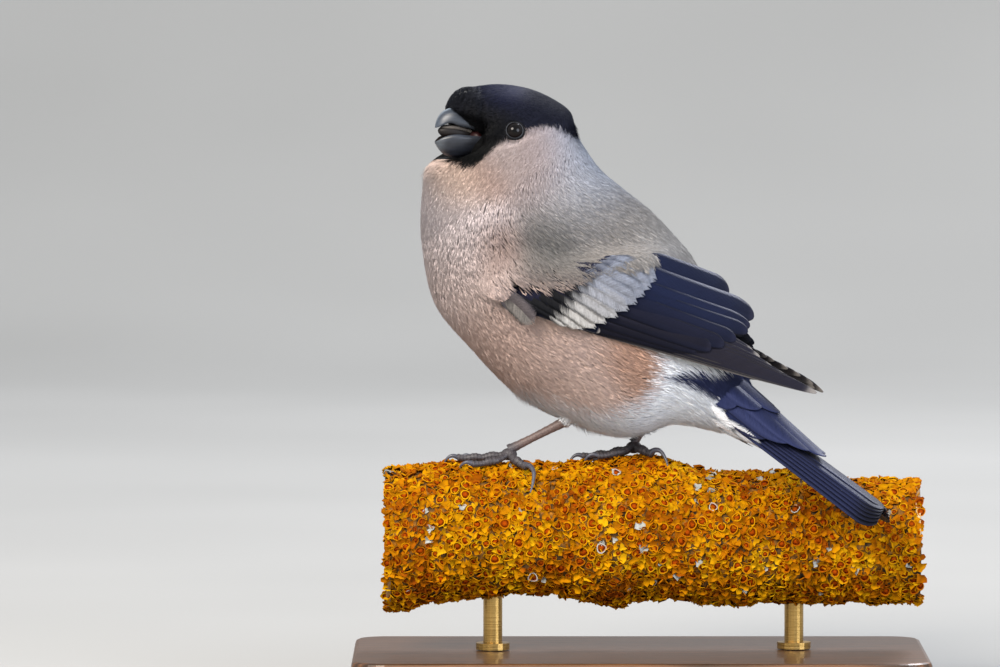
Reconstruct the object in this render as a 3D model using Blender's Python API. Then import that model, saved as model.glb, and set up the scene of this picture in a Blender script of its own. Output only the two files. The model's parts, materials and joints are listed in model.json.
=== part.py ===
"""A female bullfinch at life size, still, on a cut length of branch held by a small display stand.

Blender 4.5. Metres, +Z up. The origin is the middle of the underside of the base. The bird's head
is towards -X, its left side is towards -Y, and its body is turned so that the tail comes forward.
All sizes below are in millimetres, and MM turns them to metres when a mesh is made.
"""

import math

import bmesh
import bpy
from mathutils import Vector
from mathutils.bvhtree import BVHTree

MM = 0.001
GAP = 0.3

# Stand: a flat base and two short rods up to the branch
BASE_LENGTH = 156.0
BASE_WIDTH = 88.0
BASE_HEIGHT = 10.0
BASE_CORNER = 9.0
BASE_BEVEL = 1.2
ROD_RADIUS = 2.6
ROD_COLLAR_RADIUS = 4.6
ROD_COLLAR_HEIGHT = 1.8
ROD_PLACES = (-40.0, 42.0)

# Perch: x, top height and under height of the branch, from its left sawn end to its right one
BRANCH_OUTLINE = (
    (-69.0, 59.6, 20.6),
    (-57.0, 61.4, 22.6),
    (-40.0, 61.6, 24.8),
    (-22.0, 61.4, 25.0),
    (-8.0, 62.4, 21.6),
    (3.0, 63.0, 23.8),
    (21.0, 58.8, 22.2),
    (43.0, 59.0, 22.6),
    (57.0, 57.0, 22.6),
    (76.0, 56.6, 22.4),
)
BRANCH_DEPTH = 0.96
BRANCH_SWING = 5.0
BRANCH_SIDES = 20
BRANCH_RINGS = 26
BRANCH_BUMP = 0.45

# Body: the places of the sections from the tail's root to the forehead. Each gives x and z of its
# middle, half its depth from back to breast, half its width, the tilt of its back-to-breast line
# from level, and how far it is turned in plan.
HIP_X = -11.0
BODY_YAW = 22.0
HEAD_YAW = -20.0
NECK_X = -38.2
SECTIONS = (
    ("tail root", 25.5, 76.4, 7.4, 8.5, 57.6, BODY_YAW),
    ("rump", 16.6, 84.7, 14.8, 14.5, 57.8, BODY_YAW),
    ("vent", 7.6, 88.2, 22.6, 20.5, 60.0, BODY_YAW),
    ("belly", -2.7, 95.6, 27.7, 25.0, 57.4, BODY_YAW),
    ("back", -14.3, 103.7, 31.0, 27.3, 53.7, BODY_YAW),
    ("breast", -25.1, 113.5, 30.3, 27.8, 47.0, BODY_YAW),
    ("shoulder", -33.0, 121.8, 29.3, 26.8, 40.5, 19.0),
    ("chest", -36.8, 131.9, 26.3, 24.5, 32.0, 10.0),
    ("neck", -38.2, 140.3, 23.2, 21.5, 23.1, -4.0),
    ("throat", -37.6, 146.9, 20.8, 18.0, 15.5, -16.0),
    ("cheek", -36.0, 150.2, 18.6, 15.4, 18.6, HEAD_YAW),
    ("brow", -37.0, 152.8, 16.0, 14.2, 24.0, HEAD_YAW),
    ("crown", -40.9, 156.0, 12.2, 12.8, 38.0, HEAD_YAW),
    ("forehead", -47.5, 156.2, 6.4, 9.3, 76.0, HEAD_YAW),
)
FOREHEAD_TIP = 5.4

# The face is pushed in round the bill: how deep, how far it reaches and how far above the gape
FACE_DENT = 4.7
FACE_REACH = 7.2
FACE_RISE = 2.6
FACE_START = -9.0
TAIL_ROOT_TIP = 3.0
DOME_TURNS = (32.0, 62.0)
BODY_SIDES = 32
RINGS_A_SECTION = 3

# Cuts that part the head, neck and torso, as places along the sections
HEAD_CUT = 9.35
NECK_CUT = 7.55

# Head: places seen from the left, x and z
EYE_PLACE = (-34.0, 151.6)
EYE_RADIUS = 2.5
EYE_STANDS_OUT = 1.25
LID_RADIUS = 2.35
LID_THICKNESS = 0.5
LID_HEIGHT = 1.25

# Bill, from the corner of the mouth: forward and upward sizes along the head's own axes
GAPE_PLACE = (-46.0, 8.2, 150.5)
HEAD_PITCH = 8.0
BILL_BACK = -2.6
UPPER_LENGTH = 10.4
UPPER_HEIGHT = 6.6
CULMEN_BEND = 1.6
UPPER_HALF_WIDTH = 4.4
UPPER_HOOK = 0.9
UPPER_EDGE = 0.35
BILL_STEPS = 10
BILL_SIDES = 14
BILL_END = 0.985
LOWER_LENGTH = 10.2
LOWER_HEIGHT = 4.6
LOWER_HALF_WIDTH = 4.1
LOWER_TOP = -1.3
LOWER_DROOP = 2.0
TONGUE_LENGTH = 8.6
TONGUE_HALF_WIDTH = 1.5
NOSTRIL_RADIUS = 0.6
NOSTRIL_PLACE = (4.4, 3.1, 4.3)

# Legs: the top of the bare tarsus, and the ankle over the branch, as (x, y, z)
SIDES = ("left", "right")
TARSUS_TOP = {"left": (-19.5, -4.5, 73.0), "right": (2.2, 3.4, 72.0)}
TARSUS_FOOT_X = {"left": -35.6, "right": -1.6}
FOOT_TURN = {"left": -7.0, "right": 8.0}
TARSUS_RADIUS = 1.15
THIGH_ROOT = {"left": (-13.5, -5.5, 84.0), "right": (2.6, 3.6, 84.0)}
THIGH_RADII = (7.5, 6.6, 4.6, 1.9)
THIGH_REACH = {"left": 0.36, "right": 0.6}

# Toes: end place along the branch from the ankle, turn round the branch at the root and at the
# end, and radius. The last one is the hind toe.
TOES = (
    ("inner", -10.5, 10.0, 26.0, 1.0),
    ("middle", -14.0, 0.0, 3.0, 1.1),
    ("outer", -10.5, -12.0, -26.0, 1.0),
    ("hind", 6.5, -6.0, -22.0, 1.2),
)
FOOT_RADIUS = 1.9
TOE_SIDES = 6
CLAW_LENGTH = 5.5
CLAW_RADIUS = 0.75

# Wing: a smooth form that the folded wing lies on, as x and z of the middle, half depth, half
# width and tilt, from the shoulder to beyond the wing's tip
WING_FORM = (
    (-33.0, 121.8, 30.4, 28.6, 40.5),
    (-25.1, 113.5, 31.4, 29.6, 47.0),
    (-14.3, 103.7, 32.0, 29.0, 53.7),
    (-2.7, 96.0, 28.8, 26.5, 57.4),
    (9.0, 92.4, 21.2, 21.6, 61.5),
    (22.0, 88.6, 14.2, 15.2, 62.0),
    (32.4, 85.2, 8.4, 10.8, 61.0),
    (41.0, 82.2, 4.4, 7.4, 60.0),
    (48.6, 79.8, 1.8, 4.6, 58.0),
    (53.0, 78.6, 0.8, 2.6, 58.0),
)

# Wing feathers in tiers, from the lowest to the highest. Each tier gives how many, then for its
# first and its last feather the root and the tip as x and z, the half widths, and the heights
# over the form.
WING_TIERS = {
    "primaries": (6, (-18.0, 100.0), (-22.0, 104.5), (46.0, 81.2), (30.5, 91.5), (1.9, 2.8), (0.1, 0.9)),
    "secondaries": (5, (-17.0, 102.0), (-14.0, 108.5), (21.0, 90.5), (29.5, 96.0), (3.4, 3.9), (0.8, 1.4)),
    "tertials": (3, (-10.0, 106.5), (-6.0, 110.5), (29.5, 97.4), (21.5, 106.6), (4.4, 4.6), (1.6, 2.3)),
    "outer coverts": (3, (-31.0, 105.5), (-29.0, 108.5), (-12.5, 97.5), (-9.0, 100.0), (2.1, 2.3), (1.0, 1.4)),
    "great coverts": (6, (-31.5, 105.5), (-13.0, 113.5), (-22.0, 100.6), (3.0, 109.4), (3.1, 3.9), (1.7, 2.2)),
    "mid coverts": (4, (-34.5, 108.5), (-19.0, 115.0), (-29.5, 104.6), (-12.5, 109.4), (3.0, 3.6), (2.2, 2.6)),
}
WING_VANE_THICKNESS = 0.9
WING_CORE_LOWER = ((-35.5, 109.0), (-25.5, 100.8), (-8.0, 95.6), (6.0, 92.0), (16.0, 90.0))
WING_CORE_UPPER = ((-35.0, 112.5), (-22.0, 114.5), (-8.0, 112.5), (4.0, 107.5), (12.0, 102.0))
WING_CORE_DEPTH = 3.0
WING_ROOT_SINK = 1.6

# Tail: twelve feathers in a narrow folded fan. The pairs of numbers are for the middle feathers
# and the outermost ones. Coverts lie over and under its root, each with its turn round the tail
# and where it starts and ends along it.
TAIL_ROOT = (14.5, -10.5, 86.2)
TAIL_TIP = (67.3, -31.4, 50.9)
TAIL_PAIRS = 6
TAIL_HALF_WIDTH = 3.7
TAIL_ASIDE = (0.9, 4.0)
TAIL_SPREAD = (0.4, 2.9)
TAIL_ROOF = (8.0, 26.0)
TAIL_TOP = 0.2
TAIL_STEP = 0.34
TAIL_CURVE = 1.2
TAIL_NOTCH = 0.025
TAIL_VANE_THICKNESS = 0.8
COVERT_ROOT_OVAL = (8.6, 7.6)
COVERT_TIP_OVAL = (6.0, 1.9)
COVERT_ROOT_DROP = 1.6
COVERT_TIP_DROP = 1.7
COVERT_HALF_WIDTH = 4.2
COVERT_REACH = 0.62
COVERT_LAYER = 0.35
TAIL_CORE_SIDES = 16
TAIL_CORE_PLACES = (0.0, 0.12, 0.24, 0.36, 0.44)
UPPER_COVERTS = ((88.0, 0.10, 0.48), (44.0, 0.10, 0.58), (0.0, 0.08, 0.64))
UNDER_COVERTS = ((136.0, 0.08, 0.46), (180.0, 0.04, 0.54))

COLOURS = {
    "cap": ((0.012, 0.012, 0.020), 0.45),
    "grey": ((0.30, 0.29, 0.30), 0.80),
    "buff": ((0.46, 0.31, 0.23), 0.85),
    "wing": ((0.020, 0.022, 0.040), 0.45),
    "horn": ((0.045, 0.052, 0.068), 0.35),
    "eye": ((0.006, 0.005, 0.005), 0.08),
    "tongue": ((0.42, 0.36, 0.33), 0.50),
    "leg": ((0.105, 0.082, 0.078), 0.60),
    "white": ((0.78, 0.79, 0.80), 0.90),
    "lichen": ((0.78, 0.34, 0.01), 0.90),
    "base": ((0.020, 0.016, 0.014), 0.35),
    "brass": ((0.60, 0.42, 0.18), 0.30),
}
METAL = ("brass",)


# Scene, collections and materials
def clear_scene():
    for obj in list(bpy.data.objects):
        bpy.data.objects.remove(obj, do_unlink=True)


def collection(name, hidden=False):
    made = bpy.data.collections.new(name)
    bpy.context.scene.collection.children.link(made)
    made.hide_render = hidden
    return made


def material(name):
    colour, roughness = COLOURS[name]
    made = bpy.data.materials.new(name)
    made.use_nodes = True
    shader = made.node_tree.nodes["Principled BSDF"]
    shader.inputs["Base Color"].default_value = (*colour, 1.0)
    shader.inputs["Roughness"].default_value = roughness
    shader.inputs["Metallic"].default_value = 1.0 if name in METAL else 0.0
    made.diffuse_color = (*colour, 1.0)
    return made


# Meshes from rings of points
def mesh_from(points, faces, name="piece"):
    mesh = bpy.data.meshes.new(name)
    mesh.from_pydata([Vector(p) * MM for p in points], [], faces)
    bm = bmesh.new()
    bm.from_mesh(mesh)
    bmesh.ops.remove_doubles(bm, verts=bm.verts, dist=1e-7)
    bmesh.ops.recalc_face_normals(bm, faces=bm.faces)
    bm.to_mesh(mesh)
    bm.free()
    return mesh


def object_from(name, mesh, into):
    obj = bpy.data.objects.new(name, mesh)
    into.objects.link(obj)
    return obj


def node(name, mesh, colour, into):
    obj = object_from(name, mesh, into)
    mesh.materials.clear()
    mesh.materials.append(MATERIALS[colour])
    mesh.shade_smooth()
    mesh.set_sharp_from_angle(angle=math.radians(40))
    return obj


def tube(rings, start=None, end=None):
    """Points and faces of a closed skin over rings of equal count, each end with a pole or a flat cap."""
    count = len(rings[0])
    points = [p for ring in rings for p in ring]
    faces = []
    for r in range(len(rings) - 1):
        for k in range(count):
            a, b = r * count + k, r * count + (k + 1) % count
            faces.append((a, b, b + count, a + count))
    for pole, base in ((start, 0), (end, (len(rings) - 1) * count)):
        ring = [base + k for k in range(count)]
        if pole is None:
            faces.append(ring)
        else:
            points.append(pole)
            faces.extend((ring[k], ring[(k + 1) % count], len(points) - 1) for k in range(count))
    return points, faces


def spline(values, t):
    """A place on a smooth curve through the values, numbers or tuples, with t counted in values."""
    i = max(0, min(int(t), len(values) - 2))
    f = t - i
    picked = [values[max(0, min(len(values) - 1, j))] for j in (i - 1, i, i + 1, i + 2)]

    def one(p0, p1, p2, p3):
        return 0.5 * (
            2 * p1 + (p2 - p0) * f + (2 * p0 - 5 * p1 + 4 * p2 - p3) * f**2
            + (3 * p1 - p0 - 3 * p2 + p3) * f**3
        )

    if isinstance(values[0], (int, float)):
        return one(*picked)
    return tuple(one(*column) for column in zip(*picked))


def along(points, t):
    """A point at t from 0 to 1 of a smooth curve through the given ones."""
    return spline(points, t * (len(points) - 1))


# Booleans
def apply_modifiers(obj):
    graph = bpy.context.evaluated_depsgraph_get()
    mesh = bpy.data.meshes.new_from_object(obj.evaluated_get(graph))
    obj.modifiers.clear()
    obj.data = mesh
    return obj


def largest_surface(mesh):
    """Leaves only the biggest closed surface of a mesh."""
    bm = bmesh.new()
    bm.from_mesh(mesh)
    bmesh.ops.triangulate(bm, faces=bm.faces)
    left, groups = set(bm.faces), []
    while left:
        group, reach = set(), [left.pop()]
        while reach:
            face = reach.pop()
            group.add(face)
            for edge in face.edges:
                for other in edge.link_faces:
                    if other in left:
                        left.remove(other)
                        reach.append(other)
        groups.append(group)
    best = max(groups, key=lambda g: sum(f.calc_area() for f in g))
    drop = [f for g in groups if g is not best for f in g]
    bmesh.ops.delete(bm, geom=drop, context="FACES")
    loose = [v for v in bm.verts if not v.link_faces]
    bmesh.ops.delete(bm, geom=loose, context="VERTS")
    bm.to_mesh(mesh)
    bm.free()
    return mesh


def fuse(name, meshes, solver="EXACT"):
    """One closed mesh from overlapping closed ones."""
    group = bpy.data.collections.new(name + " pieces")
    bpy.context.scene.collection.children.link(group)
    first = object_from(name + " first", meshes[0], CUTTERS)
    for mesh in meshes[1:]:
        object_from(name + " more", mesh, group)
    joined = first.modifiers.new("join", "BOOLEAN")
    joined.operation = "UNION"
    joined.operand_type = "COLLECTION"
    joined.collection = group
    joined.solver = solver
    bpy.context.view_layer.update()
    mesh = apply_modifiers(first).data
    for obj in list(group.objects) + [first]:
        bpy.data.objects.remove(obj, do_unlink=True)
    bpy.data.collections.remove(group)
    return largest_surface(mesh)


def cut(mesh, cutter, solver="EXACT"):
    """The mesh less the cutter."""
    first = object_from("cut first", mesh, CUTTERS)
    second = object_from("cut second", cutter, CUTTERS)
    taken = first.modifiers.new("cut", "BOOLEAN")
    taken.operation = "DIFFERENCE"
    taken.object = second
    taken.solver = solver
    bpy.context.view_layer.update()
    result = apply_modifiers(first).data
    for obj in (first, second):
        bpy.data.objects.remove(obj, do_unlink=True)
    return largest_surface(result)


def sliced(mesh, point, normal):
    """A copy of the mesh with all on the normal's side of a plane cut off and the hole closed."""
    bm = bmesh.new()
    bm.from_mesh(mesh)
    bmesh.ops.bisect_plane(
        bm, geom=bm.verts[:] + bm.edges[:] + bm.faces[:], dist=1e-7,
        plane_co=Vector(point) * MM, plane_no=normal, clear_outer=True,
    )
    rim = [edge for edge in bm.edges if edge.is_boundary]
    bmesh.ops.triangle_fill(bm, edges=rim, use_beauty=True, use_dissolve=False)
    bmesh.ops.recalc_face_normals(bm, faces=bm.faces)
    made = bpy.data.meshes.new("sliced")
    bm.to_mesh(made)
    bm.free()
    return made


# Stand and perch
def branch_section(x):
    """Middle, half height and half depth of the branch at x."""
    rows = BRANCH_OUTLINE
    i = max(0, min(sum(1 for row in rows if row[0] <= x) - 1, len(rows) - 2))
    f = (x - rows[i][0]) / (rows[i + 1][0] - rows[i][0])
    _, top, under = spline(rows, i + f)
    y = BRANCH_SWING * ((x - rows[0][0]) / (rows[-1][0] - rows[0][0]) - 0.5)
    half = (top - under) / 2
    return Vector((x, y, (top + under) / 2)), half, half * BRANCH_DEPTH


def branch_point(x, turn, lift=0.0):
    """A place at x on the branch, turned round it from its top towards +Y, and lifted off it."""
    middle, up, out = branch_section(x)
    a = math.radians(turn)
    return middle + Vector((0.0, math.sin(a) * (out + lift), math.cos(a) * (up + lift)))


def branch_mesh():
    first, last = BRANCH_OUTLINE[0][0], BRANCH_OUTLINE[-1][0]
    rings = []
    for r in range(BRANCH_RINGS + 1):
        x = first + (last - first) * r / BRANCH_RINGS
        ring = []
        for k in range(BRANCH_SIDES):
            turn = 360.0 * k / BRANCH_SIDES
            near_top = max(0.0, math.cos(math.radians(turn))) ** 2
            bump = math.sin(2.3 * r + 1.7 * k) + math.sin(5.1 * k - 1.3 * r)
            ring.append(branch_point(x, turn, BRANCH_BUMP * bump * (1 - near_top) - 0.1))
        rings.append(ring)
    return mesh_from(*tube(rings))


def base_mesh():
    bm = bmesh.new()
    bmesh.ops.create_cube(bm, size=1.0)
    bmesh.ops.scale(bm, verts=bm.verts, vec=Vector((BASE_LENGTH, BASE_WIDTH, BASE_HEIGHT)) * MM)
    place = Vector((0.0, 0.0, BASE_HEIGHT / 2)) * MM
    bmesh.ops.translate(bm, verts=bm.verts, vec=place)
    upright = [e for e in bm.edges if abs((e.verts[0].co - e.verts[1].co).normalized().z) > 0.9]
    bmesh.ops.bevel(bm, geom=upright, offset=BASE_CORNER * MM, segments=6, affect="EDGES", profile=0.5)
    top = BASE_HEIGHT * MM
    rim = [e for e in bm.edges if all(abs(v.co.z - top) < 1e-7 for v in e.verts)]
    bmesh.ops.bevel(bm, geom=rim, offset=BASE_BEVEL * MM, segments=2, affect="EDGES", profile=0.5)
    mesh = bpy.data.meshes.new("base")
    bm.to_mesh(mesh)
    bm.free()
    return mesh


def round_bar(place, low, high, radius, sides=20):
    rings = []
    for z in (low, high):
        ring = []
        for k in range(sides):
            a = 2 * math.pi * k / sides
            ring.append((place[0] + radius * math.cos(a), place[1] + radius * math.sin(a), z))
        rings.append(ring)
    return mesh_from(*tube(rings))


def rod_mesh(x, branch):
    """A rod with a collar on the base, its top cut to the shape of the branch."""
    middle, up, _ = branch_section(x)
    foot = BASE_HEIGHT + GAP
    bar = round_bar(middle, foot, middle.z - up * 0.8, ROD_RADIUS)
    collar = round_bar(middle, foot, foot + ROD_COLLAR_HEIGHT, ROD_COLLAR_RADIUS)
    return cut(fuse("rod", [bar, collar]), grown(branch, GAP), "MANIFOLD")


def grown(mesh, by):
    """A copy of a closed mesh pushed out along its normals."""
    made = mesh.copy()
    bm = bmesh.new()
    bm.from_mesh(made)
    bm.normal_update()
    moves = [(v, v.normal * v.calc_shell_factor() * by * MM) for v in bm.verts]
    for v, move in moves:
        v.co += move
    bm.to_mesh(made)
    bm.free()
    return made


# Body, neck and head
def head_frame():
    b, p = math.radians(HEAD_YAW), math.radians(HEAD_PITCH)
    forward = Vector((-math.cos(b) * math.cos(p), math.sin(b) * math.cos(p), math.sin(p)))
    left = Vector((-math.sin(b), -math.cos(b), 0.0))
    return forward, left, left.cross(forward) * -1.0


def plan_y(x, yaw_part):
    """Y of the body's middle plane at x, which turns the other way in front of the neck."""
    body = -math.tan(math.radians(BODY_YAW)) * (x - HIP_X)
    neck = -math.tan(math.radians(BODY_YAW)) * (NECK_X - HIP_X)
    head = neck + math.tan(math.radians(-HEAD_YAW)) * (x - NECK_X)
    return body * (1 - yaw_part) + head * yaw_part


def dented(point):
    """A place on the head, moved back where it lies round the root of the bill."""
    forward, left, up = head_frame()
    away = point - Vector(GAPE_PLACE)
    ahead = away.dot(forward)
    across = away.dot(left) ** 2 + (away.dot(up) - FACE_RISE) ** 2
    if ahead < FACE_START:
        return point
    start = min(1.0, (ahead - FACE_START) / -FACE_START) ** 2
    return point - forward * (FACE_DENT * start * math.exp(-across / FACE_REACH**2))


def body_ring(t, lift=0.0, sides=BODY_SIDES):
    x, z, depth, width, tilt, yaw = spline([row[1:] for row in SECTIONS], t)
    part = (BODY_YAW - yaw) / (BODY_YAW - HEAD_YAW)
    middle = Vector((x, plan_y(x, max(0.0, min(1.0, part))), z))
    a, b = math.radians(tilt), math.radians(yaw)
    back = Vector((math.cos(a) * math.cos(b), -math.cos(a) * math.sin(b), math.sin(a)))
    left = Vector((-math.sin(b), -math.cos(b), 0.0))
    ring = []
    for k in range(sides):
        turn = 2 * math.pi * k / sides
        out = back * (math.cos(turn) * (depth + lift)) + left * (math.sin(turn) * (width + lift))
        ring.append(dented(middle + out))
    return ring, middle, back, left


def dome(ring, middle, way, height):
    """Rings that close a tube's end as half a ball, and the pole they close on."""
    rings = []
    for turn in DOME_TURNS:
        a = math.radians(turn)
        rise = way * (height * math.sin(a))
        rings.append([middle + (point - middle) * math.cos(a) + rise for point in ring])
    return rings, middle + way * height


def body_mesh(lift=0.0):
    count = (len(SECTIONS) - 1) * RINGS_A_SECTION
    rings = [body_ring(i / RINGS_A_SECTION, lift)[0] for i in range(count + 1)]
    _, low, back, left = body_ring(0, lift)
    _, high, back_high, left_high = body_ring(len(SECTIONS) - 1, lift)
    low_way = back.cross(left).normalized()
    high_way = -back_high.cross(left_high).normalized()
    low_rings, start = dome(rings[0], low, low_way, TAIL_ROOT_TIP + lift)
    high_rings, end = dome(rings[-1], high, high_way, FOREHEAD_TIP + lift)
    return mesh_from(*tube(low_rings[::-1] + rings + high_rings, start, end))


def cut_plane(t):
    """A point on the cut across the body at t, and the cut's normal towards the head."""
    _, middle, back, left = body_ring(t)
    normal = -back.cross(left).normalized()
    return middle, normal


# Head parts
def bill_ring(at, top, under, half_width, sides=BILL_SIDES, flat=0.75):
    """A section of the bill across its length, a rounded oval."""
    forward, left, up = head_frame()
    origin = Vector(GAPE_PLACE) + forward * at
    middle = (top + under) / 2
    ring = []
    for k in range(sides):
        a = 2 * math.pi * k / sides
        c, s = math.cos(a), math.sin(a)
        side = math.copysign(abs(s) ** flat, s) * half_width
        ring.append(origin + left * side + up * (middle + c * (top - under) / 2))
    return ring


def round_off(f, power=2.0):
    return max(0.0, 1 - min(1.0, max(0.0, f)) ** power) ** (1 / power)


def upper_bill_mesh():
    rings = []
    for i in range(BILL_STEPS):
        f = i / (BILL_STEPS - 1) * BILL_END
        at = BILL_BACK + (UPPER_LENGTH - BILL_BACK) * f
        culmen = UPPER_HEIGHT * round_off((at - CULMEN_BEND) / (UPPER_LENGTH - CULMEN_BEND), 2.1)
        edge = UPPER_EDGE - UPPER_HOOK * max(0.0, f - 0.72) ** 1.5 / 0.15
        rings.append(bill_ring(at, culmen + edge, edge, UPPER_HALF_WIDTH * round_off(f) + 0.12))
    forward, _, up = head_frame()
    tip = Vector(GAPE_PLACE) + forward * UPPER_LENGTH + up * (UPPER_EDGE - UPPER_HOOK)
    return mesh_from(*tube(rings, None, tip))


def with_nostrils(bill):
    """The upper bill with a small pit on each side near its base."""
    forward, left, up = head_frame()
    ahead, aside, rise = NOSTRIL_PLACE
    for sign in (1, -1):
        place = Vector(GAPE_PLACE) + forward * ahead + left * (aside * sign) + up * rise
        bill = cut(bill, ball_mesh(place, NOSTRIL_RADIUS, 8, 6))
    return bill


def lower_bill_mesh():
    rings = []
    for i in range(BILL_STEPS):
        f = i / (BILL_STEPS - 1) * BILL_END
        at = BILL_BACK + (LOWER_LENGTH - BILL_BACK) * f
        edge = LOWER_TOP - LOWER_DROOP * max(0.0, at / LOWER_LENGTH) ** 1.4
        bend = round_off((at - CULMEN_BEND) / (LOWER_LENGTH - CULMEN_BEND), 2.2)
        keel = edge - LOWER_HEIGHT * bend - 0.2
        rings.append(bill_ring(at, edge, keel, LOWER_HALF_WIDTH * round_off(f) + 0.12))
    forward, _, up = head_frame()
    tip = Vector(GAPE_PLACE) + forward * LOWER_LENGTH + up * (LOWER_TOP - LOWER_DROOP - 0.1)
    return mesh_from(*tube(rings, None, tip))


def tongue_mesh():
    rings = []
    steps = 6
    for i in range(steps):
        f = i / (steps - 1) * 0.96
        at = 0.5 + (TONGUE_LENGTH - 0.5) * f
        low = LOWER_TOP + GAP + 0.1 - 0.9 * f
        rings.append(bill_ring(at, low + 0.9, low, TONGUE_HALF_WIDTH * round_off(f, 2.5) + 0.1, 8, 1.0))
    forward, _, up = head_frame()
    tip = Vector(GAPE_PLACE) + forward * TONGUE_LENGTH + up * (LOWER_TOP + GAP - 0.4)
    return mesh_from(*tube(rings, None, tip))


def ball_mesh(middle, radius, segments=16, rings=10, squash=(1, 1, 1)):
    bm = bmesh.new()
    bmesh.ops.create_uvsphere(bm, u_segments=segments, v_segments=rings, radius=radius * MM)
    bmesh.ops.scale(bm, verts=bm.verts, vec=squash)
    bmesh.ops.translate(bm, verts=bm.verts, vec=Vector(middle) * MM)
    mesh = bpy.data.meshes.new("ball")
    bm.to_mesh(mesh)
    bm.free()
    return mesh


def ring_mesh(middle, axis, radius, thickness, segments=18, sides=6):
    """A torus round an axis, for the lids."""
    turn = Vector((0, 0, 1)).rotation_difference(axis)
    rings = []
    for i in range(segments):
        a = 2 * math.pi * i / segments
        out = turn @ Vector((math.cos(a), math.sin(a), 0))
        ring = []
        for k in range(sides):
            b = 2 * math.pi * k / sides
            offset = out * (radius + thickness * math.cos(b)) + axis * (thickness * math.sin(b))
            ring.append(Vector(middle) + offset)
        rings.append(ring)
    points = [p for ring in rings for p in ring]
    faces = []
    for i in range(segments):
        for k in range(sides):
            a, b = i * sides + k, i * sides + (k + 1) % sides
            j = (i + 1) % segments * sides - i * sides
            faces.append((a, b, b + j, a + j))
    return mesh_from(points, faces)


def tree_of(mesh):
    bm = bmesh.new()
    bm.from_mesh(mesh)
    made = BVHTree.FromBMesh(bm)
    bm.free()
    return made


def seen_from_left(tree, x, z):
    """The place and normal where a sight line along +Y meets a form, or the form's nearest place."""
    start = Vector((x, -200.0, z)) * MM
    place, normal, _, _ = tree.ray_cast(start, Vector((0, 1, 0)))
    if place is None:
        guess = Vector((x, plan_y(x, 0.0), z)) * MM
        place, normal, _, _ = tree.find_nearest(guess)
    return place / MM, normal


def mirrored(point, yaw, through):
    """A place on the other side of the upright middle plane turned by yaw and through a given place."""
    b = math.radians(yaw)
    left = Vector((-math.sin(b), -math.cos(b), 0.0))
    return Vector(point) - left * (2 * (Vector(point) - Vector(through)).dot(left))


def eye_places(whole):
    place, normal = seen_from_left(tree_of(whole), *EYE_PLACE)
    centre = place - normal * (EYE_RADIUS - EYE_STANDS_OUT)
    through = (NECK_X, plan_y(NECK_X, 1.0), 0.0)
    other = mirrored(centre, HEAD_YAW, through)
    zero = Vector((0, 0, 0))
    far_normal = mirrored(normal, HEAD_YAW, zero)
    return {"left": (centre, normal), "right": (other, far_normal)}


# Legs and feet
def path_tube(points, radii, sides=7, cap=True):
    """A closed tube along a path, with a radius at each point and a pointed or flat end."""
    rings = []
    up = Vector((0.17, 0.95, 0.26))
    for i, point in enumerate(points):
        ahead = points[min(i + 1, len(points) - 1)] - points[max(i - 1, 0)]
        ahead.normalize()
        side = ahead.cross(up).normalized()
        rise = side.cross(ahead)
        ring = []
        for k in range(sides):
            a = 2 * math.pi * k / sides
            ring.append(point + (side * math.cos(a) + rise * math.sin(a)) * radii[i])
        rings.append(ring)
    ahead = (points[-1] - points[-2]).normalized()
    end = points[-1] + ahead * radii[-1] if cap else None
    return mesh_from(*tube(rings, None, end))


def ankle(side):
    return branch_point(TARSUS_FOOT_X[side], FOOT_TURN[side], 2.2)


def toe_meshes(side):
    meshes = [ball_mesh(ankle(side), FOOT_RADIUS, 10, 6, (1.25, 1.0, 0.85))]
    for name, reach, turn_root, turn_end, radius in TOES:
        path, radii = [], []
        steps = 5
        for i in range(steps):
            f = i / (steps - 1)
            x = TARSUS_FOOT_X[side] + reach * f
            turn = FOOT_TURN[side] + turn_root * min(1.0, 3 * f) + (turn_end - turn_root) * f
            pad = 1 + 0.14 * math.cos(f * math.pi * (6 if name == "middle" else 4))
            size = radius * (1 - 0.22 * f) * pad
            path.append(branch_point(x, turn, size + GAP + 1.1 * (1 - f) ** 3))
            radii.append(size)
        meshes.append(path_tube(path, radii, TOE_SIDES))
        meshes.append(claw_mesh(side, reach, turn_end, radius, name))
    return meshes


def claw_mesh(side, reach, turn_end, radius, name):
    """A curved claw that leaves the toe's end, arches and comes down to the branch."""
    path, radii = [], []
    steps = 5
    way = math.copysign(1.0, reach)
    for i in range(steps):
        f = i / (steps - 1)
        swing = -34.0 * f if name == "hind" else 0.0
        x = TARSUS_FOOT_X[side] + reach + way * (-0.8 + CLAW_LENGTH * (0.85 * f))
        turn = FOOT_TURN[side] + turn_end + swing
        arch = 0.8 * math.sin(f * math.pi) + radius * 0.8 * (1 - f)
        size = CLAW_RADIUS * (1 - f) ** 0.8 + 0.14
        path.append(branch_point(x, turn, GAP + 0.2 + arch))
        radii.append(size)
    return path_tube(path, radii, 5)


def tarsus_mesh(side):
    top, low = Vector(TARSUS_TOP[side]), ankle(side) + Vector((0.0, 0.0, 1.2))
    ahead = (low - top).normalized()
    path = [top + (low - top) * f for f in (-0.35, 0.0, 0.3, 0.6, 0.85, 1.0)]
    radii = [TARSUS_RADIUS * k for k in (1.1, 1.25, 1.0, 0.9, 1.0, 1.2)]
    path[-1] = low - ahead * GAP
    return path_tube(path, radii, 10, cap=False)


def thigh_mesh(side):
    """The feathered thigh, which ends a little way down the bare tarsus."""
    root, top = Vector(THIGH_ROOT[side]), Vector(TARSUS_TOP[side])
    low = top + (ankle(side) - top) * THIGH_REACH[side]
    path = [root + (low - root) * f for f in (0.0, 0.35, 0.75, 1.0)]
    return path_tube(path, list(THIGH_RADII), 14)


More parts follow.
